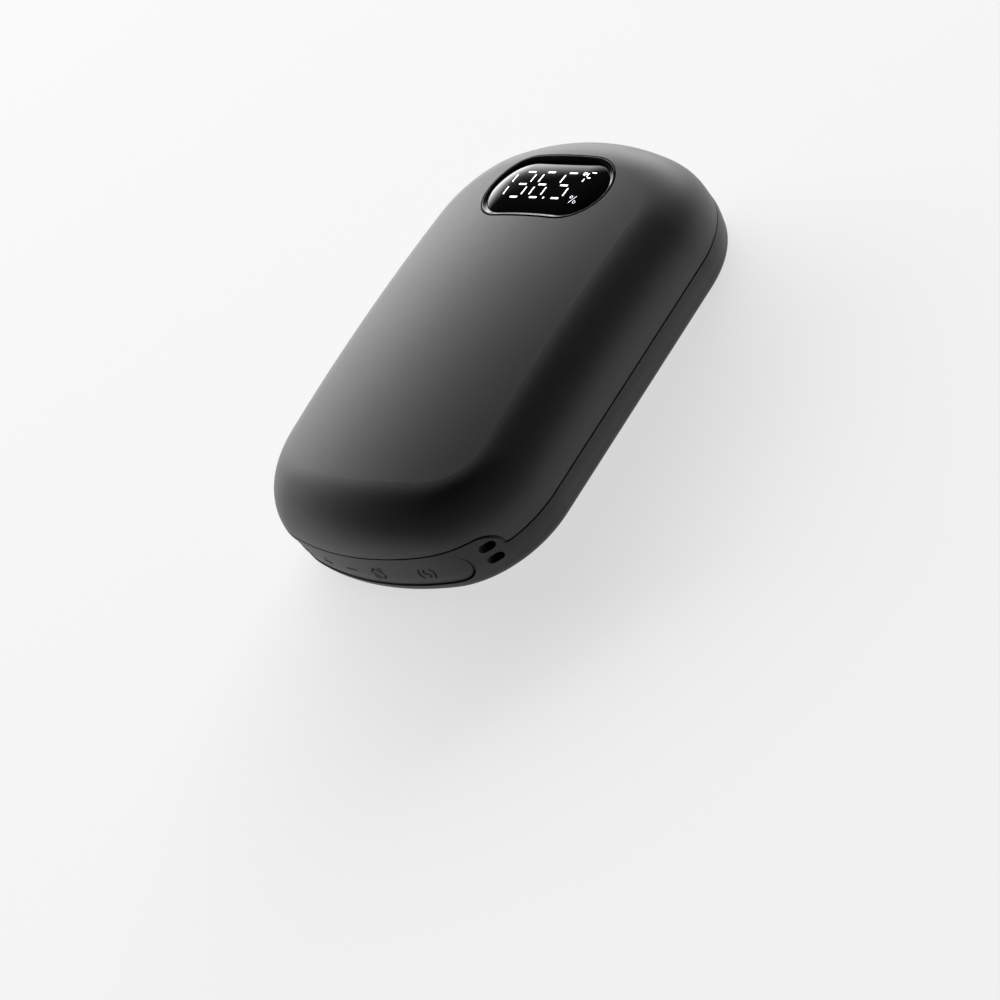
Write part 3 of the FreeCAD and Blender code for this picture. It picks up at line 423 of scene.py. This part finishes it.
FINISH_OF_SLOT: dict[str, Finish] = {
    "shell_plastic": SHELL,
    "frame_plastic": FRAME,
    "plate_aluminium": PLATE,
    "key_rubber": RUBBER,
    "window_gloss": BEZEL,
    "lens_glass": LENS,
    "display_light": LIGHT,
    "display_black": Moulded("housing_black", (0.008, 0.008, 0.008), 0.5),
    "board_laminate": Laminate("board_green", (0.02, 0.13, 0.05), 0.35),
    "chip_epoxy": Moulded("chip_epoxy", (0.015, 0.015, 0.015), 0.55),
    "switch_black": Moulded("switch_nylon", (0.02, 0.02, 0.02), 0.5),
    "screw_steel": Drawn("screw_plating", (0.60, 0.60, 0.58), 0.30),
    "port_steel": Drawn("port_stainless", (0.62, 0.62, 0.63), 0.28),
    "bonding_tape": Moulded("tape_foam", (0.50, 0.47, 0.40), 0.8, grain=0.5 * MM, depth=0.03 * MM),
    "film_amber": HeaterTrack("film_amber", (0.50, 0.23, 0.05), 0.3),
    "cell_pouch": Foil("cell_foil", (0.66, 0.67, 0.69), 0.32),
    "wire_red": Moulded("wire_red", (0.45, 0.02, 0.015), 0.45),
    "wire_black": Moulded("wire_black", (0.012, 0.012, 0.012), 0.45),
    "boot_rubber": Moulded("boot_rubber", (0.03, 0.03, 0.03), 0.7),
    "weight_metal": Drawn("weight_sintered", (0.30, 0.29, 0.28), 0.5),
}


# Pieces

def make_piece(name: str, bm: bmesh.types.BMesh, finish: Finish,
               sharp: float = 40.0) -> bpy.types.Object:
    """Turn a finished bmesh into a piece at the origin.

    Args:
        name: The piece's name.
        bm: Its mesh, which is freed.
        finish: Its finish.
        sharp: Edges that turn by more than this many degrees stay sharp.

    Returns:
        The piece, which still rides on nothing.
    """
    bmesh.ops.recalc_face_normals(bm, faces=bm.faces)
    mesh = bpy.data.meshes.new(name)
    bm.to_mesh(mesh)
    bm.free()
    mesh.shade_smooth()
    mesh.set_sharp_from_angle(angle=math.radians(sharp))
    mesh.materials.append(finish.material())
    piece = bpy.data.objects.new(name, mesh)
    bpy.context.scene.collection.objects.link(piece)
    log.info("piece %s: %d faces", name, len(mesh.polygons))
    return piece


def move_verts(bm: bmesh.types.BMesh, where: Callable[[Vector], Vector]) -> None:
    """Move every vertex of a mesh by a rule."""
    for vert in bm.verts:
        vert.co = where(vert.co)


@dataclass(frozen=True)
class Pill:
    """A round-ended outline, long in X, and rings drawn in from it."""

    length: float
    width: float
    arc_steps: int = 32
    run_steps: int = 12

    @property
    def reach(self) -> float:
        """From the middle to the centre of either round end."""
        return (self.length - self.width) / 2

    @property
    def tiny(self) -> float:
        """A length that counts as nothing on this outline."""
        return self.width * 1e-4

    def outline(self, bm: bmesh.types.BMesh) -> list[bmesh.types.BMEdge]:
        """Draw the outline flat about the origin.

        Args:
            bm: The mesh to draw in, still empty.

        Returns:
            The outline's edges.
        """
        bmesh.ops.create_circle(bm, segments=2 * self.arc_steps, radius=self.width / 2)
        for vert in bm.verts:
            if abs(vert.co.x) > self.tiny:
                vert.co.x += math.copysign(self.reach, vert.co.x)
        runs = [edge for edge in bm.edges if edge.calc_length() > self.reach]
        bmesh.ops.subdivide_edges(bm, edges=runs, cuts=self.run_steps)
        return list(bm.edges)

    def ring(self, bm: bmesh.types.BMesh, edges: list[bmesh.types.BMEdge], inset: float,
             height: float) -> list[bmesh.types.BMEdge]:
        """Extrude a ring of edges to an inset from the outline and a height.

        Args:
            bm: The mesh that holds the ring.
            edges: The last ring's edges.
            inset: How far inside the outline the new ring lies.
            height: Its height.

        Returns:
            The new ring's edges.
        """
        made = bmesh.ops.extrude_edge_only(bm, edges=edges)["geom"]
        radius = self.width / 2 - inset
        for vert in (item for item in made if isinstance(item, bmesh.types.BMVert)):
            core = max(-self.reach, min(self.reach, vert.co.x))
            arm = Vector((vert.co.x - core, vert.co.y, 0.0)).normalized()
            vert.co = Vector((core, 0.0, height)) + arm * radius
        return [item for item in made if isinstance(item, bmesh.types.BMEdge) and item.is_boundary]

    def loft(self, profile: Sequence[tuple[float, float]], closed: bool) -> bmesh.types.BMesh:
        """Build a solid from rings, each an inset and a height.

        Args:
            profile: The rings in order, from the back's edge over the top.
            closed: True for a ring-shaped solid, whose last ring meets its first. Otherwise the last
                ring closes on the middle line and the back is filled.

        Returns:
            The solid as a new mesh.
        """
        bm = bmesh.new()
        edges = self.outline(bm)
        for vert in bm.verts:
            vert.co.z = profile[0][1]
        if not closed:
            bmesh.ops.contextual_create(bm, geom=edges)
        rings = list(profile[1:])
        if closed:
            rings.append(profile[0])
        for inset, height in rings:
            edges = self.ring(bm, edges, inset, height)
        bmesh.ops.remove_doubles(bm, verts=bm.verts, dist=self.tiny)
        return bm


def add_bar(bm: bmesh.types.BMesh, middle: Sequence[float], size: Sequence[float], turn: float = 0.0,
            cuts: int = 2) -> None:
    """Add a flat bar that lies in the XY plane.

    Args:
        bm: The mesh to add to.
        middle: The bar's middle, as X and Y.
        size: Its length along X, its width and its thickness.
        turn: How far it is turned about Z, in degrees.
        cuts: Cuts along its length, so that it can follow a curved face.
    """
    place = Matrix.Translation((*middle, 0.0)) @ Matrix.Rotation(math.radians(turn), 4, "Z")
    scale = Matrix.Diagonal((*size, 1.0))
    verts = bmesh.ops.create_cube(bm, size=1.0, matrix=place @ scale)["verts"]
    edges = {edge for vert in verts for edge in vert.link_edges}
    longest = sorted(edges, key=lambda edge: -edge.calc_length())[:4]
    bmesh.ops.subdivide_edges(bm, edges=longest, cuts=cuts)


def add_arc(bm: bmesh.types.BMesh, middle: Sequence[float], radius: float, stroke: Sequence[float],
            start: float, sweep: float, steps: int = 20) -> None:
    """Add a flat stroke along an arc in the XY plane.

    Args:
        bm: The mesh to add to.
        middle: The arc's centre, as X and Y.
        radius: Its radius at the middle of the stroke.
        stroke: The stroke's width and thickness.
        start: The angle where it starts, in degrees from +X.
        sweep: How far it runs, in degrees.
        steps: Faces along it.
    """
    width, thick = stroke
    place = (Matrix.Translation((*middle, 0.0)) @ Matrix.Rotation(math.radians(start), 4, "Z")
             @ Matrix.Translation((radius, 0.0, 0.0)) @ Matrix.Rotation(math.radians(90), 4, "X"))
    scale = Matrix.Diagonal((width / 2, thick / 2, 1.0, 1.0))
    verts = bmesh.ops.create_grid(bm, x_segments=1, y_segments=1, size=1.0, matrix=place @ scale)["verts"]
    faces = list({face for vert in verts for face in vert.link_faces})
    edges = list({edge for vert in verts for edge in vert.link_edges})
    bmesh.ops.spin(bm, geom=[*verts, *edges, *faces], cent=(*middle, 0.0), axis=(0.0, 0.0, 1.0),
                   angle=math.radians(sweep), steps=steps, use_merge=abs(sweep) >= 360)


# The lens's fall below its middle by the inset from its edge, in millimetres.
LENS_FALLS = (
    (0.0, 0.64), (0.04, 0.60), (0.1, 0.575), (0.3, 0.52), (0.6, 0.445), (1.0, 0.355), (1.5, 0.26),
    (2.0, 0.18), (2.6, 0.105), (3.3, 0.045), (4.1, 0.012), (5.0, 0.001))

# The bezel's section as inset and height, in millimetres: wall, rounded lip, then the slope to the lens.
BEZEL_SECTION = (
    (0.0, -1.3), (0.0, -0.40), (0.05, -0.22), (0.13, -0.09), (0.22, -0.02), (0.30, 0.0), (0.38, -0.015),
    (0.46, -0.06), (0.65, -0.15), (0.9, -0.26), (1.05, -0.34), (1.12, -0.42), (1.16, -0.9), (1.16, -1.3))

# Each bar of the signs beside the digits: middle, length and width in millimetres, and turn in degrees.
SIGN_BARS = (
    ((7.9, 2.85), (0.95, 0.25), 90.0),
    ((7.8, 1.5), (0.8, 0.25), 90.0),
    ((8.9, 3.55), (1.0, 0.25), 0.0),
    ((8.6, 2.15), (0.8, 0.25), 0.0),
    ((8.6, -3.1), (1.9, 0.1), 58.0))

# Each ring of those signs: middle, radius and stroke in millimetres.
SIGN_RINGS = (
    ((7.1, 3.1), 0.33, 0.18),
    ((8.0, -2.6), 0.27, 0.08),
    ((9.2, -3.6), 0.27, 0.08))


@dataclass
class DisplayWindow:
    """The window in the dome: polished dished bezel, smoked lens and the lit figures."""

    crown_across: float = 100 * MM
    crown_along: float = 400 * MM
    setback: float = 16 * MM
    length: float = 29.2 * MM
    width: float = 15.4 * MM
    bezel: float = 1.2 * MM
    gap: float = 0.1 * MM
    lens_across: float = 260 * MM
    lens_drop: float = 0.2 * MM
    lens_thick: float = 0.6 * MM
    digit_width: float = 3.2 * MM
    digit_height: float = 6.6 * MM
    bar_stroke: float = 0.38 * MM
    upright_stroke: float = 0.29 * MM
    bar_length: float = 1.8 * MM
    upright_length: float = 1.9 * MM
    corner: float = 0.1 * MM
    point: float = 1.64 * MM
    lift: float = 0.02 * MM
    rise: float = 0.2 * MM
    digits: dict[float, tuple[Bar, ...]] = field(default_factory=lambda: {
        -10.35 * MM: ONE, -5.76 * MM: THREE, -0.93 * MM: SIX, 4.36 * MM: FIVE})
    pillow: list[tuple[float, float]] = field(init=False)
    place: Matrix = field(init=False)

    def __post_init__(self) -> None:
        """Work out the lens's fall towards its edge, and where the window leans on the dome."""
        self.pillow = [(inset * MM, fall * MM) for inset, fall in LENS_FALLS]
        self.pillow.append((self.lens.width / 2, 0.0))
        along = CAD_BOX[1].y - self.setback
        lean = math.asin(along / self.crown_along)
        height = CAD_BOX[1].z - self.crown_along * (1 - math.cos(lean))
        self.place = Matrix.Translation((0.0, along, height)) @ Matrix.Rotation(-lean, 4, "X")

    def laid(self, spot: Vector, across: float) -> Vector:
        """Lay a point on a domed face.

        Args:
            spot: X and Y in the window's own plane, and the height above the face.
            across: The face's radius across the window.

        Returns:
            The point in the object's frame.
        """
        sag = across - math.sqrt(across ** 2 - spot.x ** 2)
        rise = math.sqrt((self.crown_along - sag) ** 2 - spot.y ** 2) - self.crown_along
        return self.place @ Vector((spot.x, spot.y, rise + spot.z))

    def on_crown(self, spot: Vector) -> Vector:
        """Lay a point on the dome."""
        return self.laid(spot, self.crown_across)

    def on_glass(self, spot: Vector) -> Vector:
        """Lay a point on the lens's flatter dome."""
        return self.laid(spot, self.lens_across)

    @property
    def lens(self) -> Pill:
        """The lens's outline."""
        trim = 2 * (self.bezel + self.gap)
        return Pill(self.length - trim, self.width - trim)

    def on_lens(self, spot: Vector) -> Vector:
        """Lay a point on the lens's pillowed face, by its place and its height above that face."""
        core = max(-self.lens.reach, min(self.lens.reach, spot.x))
        inset = self.lens.width / 2 - math.hypot(spot.x - core, spot.y)
        fall = self.pillow[-1][1]
        for (near, low), (far, high) in zip(self.pillow, self.pillow[1:]):
            if near <= inset <= far:
                fall = low + (high - low) * (inset - near) / (far - near)
        return self.on_glass(Vector((spot.x, spot.y, spot.z - self.lens_drop - fall)))

    def build_bezel(self) -> bpy.types.Object:
        """The dished ring: a rounded lip, then a slope down to the lens."""
        pill = Pill(self.length - 2 * self.gap, self.width - 2 * self.gap)
        profile = [(inset * MM, height * MM) for inset, height in BEZEL_SECTION]
        bm = pill.loft(profile, closed=True)
        move_verts(bm, self.on_crown)
        piece = make_piece("bezel", bm, BEZEL)
        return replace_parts(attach(piece, CASE), "window_trim")

    def build_lens(self) -> bpy.types.Object:
        """The smoked lens, softly pillowed towards its edge."""
        back = self.pillow[0][1] + self.lens_thick
        profile = [(0.0, -self.lens_drop - back)]
        profile += [(inset, -self.lens_drop - fall) for inset, fall in self.pillow]
        bm = self.lens.loft(profile, closed=False)
        move_verts(bm, self.on_glass)
        piece = make_piece("lens", bm, LENS)
        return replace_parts(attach(piece, CASE), "display_lens")

    def build_figures(self) -> bpy.types.Object:
        """The lit figures as they show on the lens."""
        bm = bmesh.new()
        thick = 2 * self.lift
        half_width = (self.digit_width - self.upright_stroke) / 2
        half_height = (self.digit_height - self.bar_stroke) / 2
        lying = (self.bar_length, self.bar_stroke, thick)
        standing = (self.upright_length, self.upright_stroke, thick)
        for middle, bars in self.digits.items():
            for bar in bars:
                share_x, share_y, lies = bar.value
                spot = (middle + share_x * half_width, share_y * half_height)
                add_bar(bm, spot, lying if lies else standing, 0.0 if lies else 90.0)
        self.add_signs(bm, half_height, thick)
        sharp = math.radians(60)
        corners = [edge for edge in bm.edges if abs(edge.verts[0].co.z - edge.verts[1].co.z) > self.lift
                   and len(edge.link_faces) == 2 and edge.calc_face_angle(0.0) > sharp]
        bmesh.ops.bevel(bm, geom=corners, offset=self.corner, affect="EDGES", segments=2, profile=0.5,
                        material=-1)
        bmesh.ops.translate(bm, verts=bm.verts, vec=(0.0, self.rise, 0.0))
        move_verts(bm, self.on_lens)
        piece = make_piece("lit_figures", bm, LIGHT)
        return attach(piece, CASE)

    def add_signs(self, bm: bmesh.types.BMesh, half_height: float, thick: float) -> None:
        """Add the decimal point, the degree and scale sign, and the share sign.

        Args:
            bm: The figures' mesh.
            half_height: From a digit's middle to the middle of its top bar.
            thick: The bars' thickness.
        """
        add_bar(bm, (self.point, -half_height), (self.bar_stroke, self.bar_stroke, thick))
        for (x, y), (length, width), turn in SIGN_BARS:
            add_bar(bm, (x * MM, y * MM), (length * MM, width * MM, thick), turn)
        for (x, y), radius, stroke in SIGN_RINGS:
            add_arc(bm, (x * MM, y * MM), radius * MM, (stroke * MM, thick), 0.0, 360.0)

    def build(self) -> None:
        """Build all the window's pieces."""
        self.build_bezel()
        self.build_lens()
        self.build_figures()


@dataclass
class KeyStrip:
    """One silicone strip over five switches, with a dark sign laid on each key."""

    end_gap: float = 0.45 * MM
    edge: float = 0.14 * MM
    spread: float = 0.06 * MM
    back: float = 1.4 * MM
    stroke: float = 0.41 * MM
    proud: float = 0.012 * MM
    held: float = 0.55
    bridge: float = 0.35 * MM
    margin: float = 0.05 * MM
    clear: float = 10 * MM
    power_radius: float = 1.15 * MM
    power_gap: float = 70.0
    plus_span: float = 2.5 * MM
    minus_span: float = 2.6 * MM
    sign_drop: float = 0.15 * MM
    sign_shift: dict[Key, float] = field(default_factory=lambda: {
        Key.POWER: 0.2 * MM, Key.PLUS: 0.25 * MM, Key.MINUS: 0.2 * MM, Key.VIBRATION: 0.2 * MM,
        Key.HEAT: 0.55 * MM})
    face: BVHTree = field(init=False)
    keys: list[Key] = field(init=False)
    level: float = field(init=False)
    length: float = field(init=False)
    height: float = field(init=False)
    bounds: list[float] = field(init=False)

    def __post_init__(self) -> None:
        """Read the strip's place from the frame's keys."""
        solids = bmesh.new()
        for key in Key:
            solids.from_mesh(frame["nodes"][key.node].data)
        self.face = BVHTree.FromBMesh(solids)
        solids.free()
        self.keys = list(Key)
        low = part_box(Key.POWER.node)[0]
        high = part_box(Key.HEAT.node)[1]
        self.level = Key.POWER.spot.z
        self.length = high.x - low.x
        self.height = 2 * (self.level - low.z)
        spots = [key.spot.x for key in self.keys]
        self.bounds = [low.x, *[(a + b) / 2 for a, b in zip(spots, spots[1:])], high.x]

    def front(self, x: float, z: float) -> float:
        """Where the strip's face is.

        Args:
            x: Place along the strip.
            z: Height.

        Returns:
            The face's Y, bridged over the splits between the keys.
        """
        inward = Vector((0, 1, 0))
        outside = CAD_BOX[0].y - self.clear
        limit = self.height / 2 - self.margin
        z = max(self.level - limit, min(self.level + limit, z))
        spot = self.face.ray_cast(Vector((x, outside, z)), inward)[0]
        sides = [Vector((x + way * self.bridge, outside, z)) for way in (-1, 1)]
        pair = [self.face.ray_cast(side, inward)[0] for side in sides]
        found = [hit.y for hit in pair if hit]
        across = sum(found) / len(found) if found else 0.0
        return across if spot is None or spot.y > across + self.bridge else spot.y

    def on_face(self, spot: Vector) -> Vector:
        """Lay a point on the strip: along it, up it, and out of it."""
        x, z = spot.x, self.level + spot.y
        return Vector((x, self.front(x, z) - spot.z, z))

    def build_strip(self) -> None:
        """The strip in halves, each from the middle of its key to the boundary on that side."""
        pill = Pill(self.length - 2 * self.end_gap, self.height + 2 * self.spread, run_steps=60)
        rim = [(0.0, -self.back), (0.0, -self.edge)]
        turns = 5
        for turn in range(1, turns + 1):
            angle = math.radians(90 * turn / turns)
            rim.append((self.edge * (1 - math.cos(angle)), -self.edge * (1 - math.sin(angle))))
        shares = (0.3, 0.5, 0.75, 1.0)
        rim += [(share * pill.width / 2, 0.0) for share in shares]
        whole = pill.loft(rim, closed=False)
        centre = (self.bounds[0] + self.bounds[-1]) / 2
        bmesh.ops.translate(whole, verts=whole.verts, vec=(centre, 0.0, 0.0))
        for key, low, high in zip(self.keys, self.bounds, self.bounds[1:]):
            middle = key.spot.x
            for side, still in (("left", low), ("right", high)):
                half = whole.copy()
                for plane, normal in ((middle, middle - still), (still, still - middle)):
                    everything = [*half.verts, *half.edges, *half.faces]
                    bmesh.ops.bisect_plane(half, geom=everything, dist=SNAP, plane_co=(plane, 0, 0),
                                           plane_no=(math.copysign(1.0, normal), 0, 0), clear_outer=True)
                move_verts(half, self.on_face)
                piece = make_piece(f"strip_{key.value}_{side}", half, RUBBER)
                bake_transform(piece)
                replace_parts(piece, key.node)
        whole.free()

    def sign(self, key: Key) -> bmesh.types.BMesh:
        """Draw one key's sign flat about its own middle.

        Args:
            key: The key.

        Returns:
            The sign as a new mesh.
        """
        bm = bmesh.new()
        wide, thick = self.stroke, 2 * self.proud
        if key is Key.POWER:
            start, sweep = 90.0 + self.power_gap / 2, 360.0 - self.power_gap
            add_arc(bm, (0.0, 0.0), self.power_radius, (wide, thick), start, sweep)
            add_bar(bm, (0.0, 0.95 * MM), (1.3 * MM, wide, thick), 90.0)
        elif key is Key.PLUS:
            add_bar(bm, (0.0, 0.0), (self.plus_span, wide, thick))
            add_bar(bm, (0.0, 0.0), (self.plus_span, wide, 1.1 * thick), 90.0)
        elif key is Key.MINUS:
            add_bar(bm, (0.0, 0.0), (self.minus_span, wide, thick))
        elif key is Key.VIBRATION:
            self.draw_vibration(bm, wide, thick)
        else:
            self.draw_heat(bm, wide, thick)
        return bm

    @staticmethod
    def draw_vibration(bm: bmesh.types.BMesh, wide: float, thick: float) -> None:
        """A shaking slab: a tilted box with two dashes on either side.

        Args:
            bm: The sign's mesh.
            wide: The stroke's width.
            thick: Its thickness.
        """
        half_width, half_height = 0.68 * MM, 1.25 * MM
        dashes = ((1.35 * MM, 1.4 * MM), (1.95 * MM, 0.76 * MM))
        tilt = math.radians(45)
        for side in (-1, 1):
            add_bar(bm, (side * half_width, 0.0), (2 * half_height, wide, thick), 90.0)
            add_bar(bm, (0.0, side * half_height), (2 * half_width + wide, wide, thick))
            for away, length in dashes:
                add_bar(bm, (side * away, 0.0), (length, 0.8 * wide, thick), 90.0)
        bm.transform(Matrix.Rotation(tilt, 4, "Z"))

    @staticmethod
    def draw_heat(bm: bmesh.types.BMesh, wide: float, thick: float) -> None:
        """A rising wave between two round brackets.

        Args:
            bm: The sign's mesh.
            wide: The stroke's width.
            thick: Its thickness.
        """
        wave, bracket, sweep = 0.45 * MM, 1.55 * MM, 96.0
        for side in (-1, 1):
            add_arc(bm, (0.0, 0.0), bracket, (wide, thick), 90 - 90 * side - sweep / 2, sweep)
            add_arc(bm, (0.0, side * wave), wave, (wide, thick), 90.0 * side, 180.0)

    def build_signs(self) -> None:
        """Lay each sign on its key."""
        for key in self.keys:
            bm = self.sign(key)
            spot = (key.spot.x + self.sign_shift[key], -self.sign_drop, 0.0)
            bmesh.ops.translate(bm, verts=bm.verts, vec=spot)
            move_verts(bm, self.on_face)
            # The sign's dark colour is painted shade that stands in for its engraved grooves.
            piece = make_piece(f"sign_{key.value}", bm, SIGN)
            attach(piece, key.body)

    def build(self) -> None:
        """Build the strip and its signs."""
        self.build_strip()
        self.build_signs()


@dataclass
class HeatPlate:
    """Three rising waves inside the plate's ring, as thin dark strokes that stand for an engraving."""

    proud: float = 0.006 * MM
    stroke: float = 0.4 * MM
    wave: float = 1.5 * MM
    spacing: float = 4.2 * MM

    def build(self) -> None:
        """Lay the waves on the plate's outer face."""
        bm = bmesh.new()
        line = (self.stroke, 2 * self.proud)
        for column in (-1, 0, 1):
            for step, side in ((1, -1), (-1, 1)):
                middle = (column * self.spacing, step * self.wave)
                add_arc(bm, middle, self.wave, line, 90.0 * side, 180.0)
        piece = make_piece("plate_waves", bm, ENGRAVED)
        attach(piece, CASE)


@dataclass
class ChargePort:
    """The contacts on the socket's tongue."""

    count: int = 12
    pitch: float = 0.5 * MM
    width: float = 0.25 * MM
    length: float = 3.2 * MM
    thick: float = 0.05 * MM
    blade: float = 0.35 * MM
    mouth: float = 0.8 * MM

    def build(self) -> None:
        """Build both rows of contacts on the tongue."""
        low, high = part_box("charge_port_tongue")
        level = (low.z + high.z) / 2
        bm = bmesh.new()
        for face in (-1, 1):
            for index in range(self.count):
                across = (index - (self.count - 1) / 2) * self.pitch
                middle = (across, high.y - self.mouth - self.length / 2, level + face * self.blade)
                scale = Matrix.Diagonal((self.width, self.length, self.thick, 1.0))
                bmesh.ops.create_cube(bm, size=1.0, matrix=Matrix.Translation(middle) @ scale)
        piece = make_piece("port_contacts", bm, GOLD)
        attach(piece, CASE)


def dress_frame() -> None:
    """Give every solid of the frame the finish of its slot."""
    for part in frame["record"]["subparts"]:
        mesh = frame["nodes"][part["node"]].data
        mesh.materials.clear()
        mesh.materials.append(FINISH_OF_SLOT[part["material_slot"]].material())
    log.info("dressed %d solids", len(frame["nodes"]))


# Studio

@dataclass(frozen=True)
class Softbox:
    """One rectangular lamp that faces the object, whose light can fade towards one edge."""

    name: str
    direction: tuple[float, float, float]
    distance: float
    size: tuple[float, float]
    power: float
    fade: float = 0.01
    mirrored: bool = True

    def build(self, target: Vector) -> None:
        """Place the lamp.

        Args:
            target: The point that it faces.
        """
        lamp = bpy.data.lights.new(self.name, "AREA")
        lamp.shape = "RECTANGLE"
        lamp.size, lamp.size_y = self.size
        lamp.energy = self.power
        lamp.use_nodes = True
        nodes, links = lamp.node_tree.nodes, lamp.node_tree.links
        spread = nodes.new("ShaderNodeSeparateXYZ")
        fall = nodes.new("ShaderNodeMapRange")
        fall.interpolation_type = "SMOOTHSTEP"
        levels = {"From Min": 1 - self.fade, "From Max": 1.0, "To Min": 1.0, "To Max": 0.0}
        for name, value in levels.items():
            fall.inputs[name].default_value = value
        links.new(nodes.new("ShaderNodeNewGeometry").outputs["Parametric"], spread.inputs[0])
        links.new(spread.outputs["Y"], fall.inputs["Value"])
        links.new(fall.outputs[0], nodes["Emission"].inputs["Strength"])
        holder = bpy.data.objects.new(self.name, lamp)
        away = Vector(self.direction).normalized()
        holder.location = target + away * self.distance
        holder.rotation_euler = away.to_track_quat("Z", "Y").to_euler()
        holder.visible_camera = False
        holder.visible_glossy = self.mirrored
        bpy.context.scene.collection.objects.link(holder)


@dataclass(frozen=True)
class Studio:
    """Pale floor, soft lamps, and the camera at the photo's view."""

    eye: tuple[float, float, float] = (0.42539, -0.24487, 0.33410)
    target: tuple[float, float, float] = (-0.00110, -0.01632, -0.01002)
    up: tuple[float, float, float] = (-0.09120, 0.77373, 0.62691)
    lens: float = 124.5
    sensor: float = 36.0
    floor_span: float = 6.0
    floor_drop: float = 0.02 * MM
    floor_paper: Color = (0.21, 0.21, 0.21)
    floor_glow: float = 0.66
    floor_bounce: float = 0.25
    pale: float = 0.955
    ambient: float = 0.01
    lamps: tuple[Softbox, ...] = (
        Softbox("key_lamp", (-0.75, 0.58, 0.28), 3.0, (7.0, 1.4), 625.0, mirrored=False),
        Softbox("strip_lamp", (-0.62, 0.76, 0.23), 3.0, (4.2, 1.5), 118.0, fade=0.95),
        Softbox("side_lamp", (-0.95, -0.30, 0.06), 3.0, (2.4, 0.35), 4.0),
    )

    def build_camera(self) -> None:
        """Stand the camera at the photo's eye, turned as the photo is."""
        data = bpy.data.cameras.new("photo_view")
        data.lens = self.lens
        data.sensor_width = self.sensor
        holder = bpy.data.objects.new("photo_view", data)
        back = (Vector(self.eye) - Vector(self.target)).normalized()
        right = Vector(self.up).cross(back).normalized()
        turn = Matrix((right, back.cross(right), back)).transposed()
        holder.matrix_world = Matrix.Translation(self.eye) @ turn.to_4x4()
        bpy.context.scene.collection.objects.link(holder)
        bpy.context.scene.camera = holder

    def build_floor(self) -> None:
        """A wide pale floor that takes a soft shadow."""
        bm = bmesh.new()
        bmesh.ops.create_grid(bm, x_segments=1, y_segments=1, size=self.floor_span / 2)
        bmesh.ops.translate(bm, verts=bm.verts, vec=(0.0, 0.0, -self.floor_drop))
        mesh = bpy.data.meshes.new("floor")
        bm.to_mesh(mesh)
        bm.free()
        shader = Shader("floor_paper")
        bounced = shader.add("ShaderNodeLightPath").outputs["Is Diffuse Ray"]
        shader.set(Base_Color=(*self.floor_paper, 1.0), Roughness=0.9, Specular_IOR_Level=0.0,
                   Emission_Color=(1.0, 1.0, 1.0, 1.0),
                   Emission_Strength=shader.between(bounced, self.floor_glow, self.floor_bounce))
        mesh.materials.append(shader.material)
        floor = bpy.data.objects.new("floor", mesh)
        bpy.context.scene.collection.objects.link(floor)

    def build_world(self) -> None:
        """A dim room that the camera sees as the pale backdrop."""
        world = bpy.data.worlds.new("room")
        world.use_nodes = True
        nodes, links = world.node_tree.nodes, world.node_tree.links
        path = nodes.new("ShaderNodeLightPath")
        level = nodes.new("ShaderNodeMapRange")
        level.inputs["To Min"].default_value = self.ambient
        level.inputs["To Max"].default_value = self.pale
        links.new(path.outputs["Is Camera Ray"], level.inputs["Value"])
        nodes["Background"].inputs["Color"].default_value = (1.0, 1.0, 1.0, 1.0)
        links.new(level.outputs[0], nodes["Background"].inputs["Strength"])
        bpy.context.scene.world = world

    def build(self) -> None:
        """Build the whole studio."""
        bpy.context.scene.view_settings.view_transform = "Standard"
        self.build_floor()
        self.build_world()
        middle = (CAD_BOX[0] + CAD_BOX[1]) / 2
        for lamp in self.lamps:
            lamp.build(middle)
        self.build_camera()


def main() -> None:
    """Build every sub-assembly in order."""
    logging.basicConfig(level=logging.INFO, format="%(message)s")
    dress_frame()
    for part in (DisplayWindow(), KeyStrip(), HeatPlate(), ChargePort()):
        part.build()
    Studio().build()


if __name__ == "__main__":
    main()
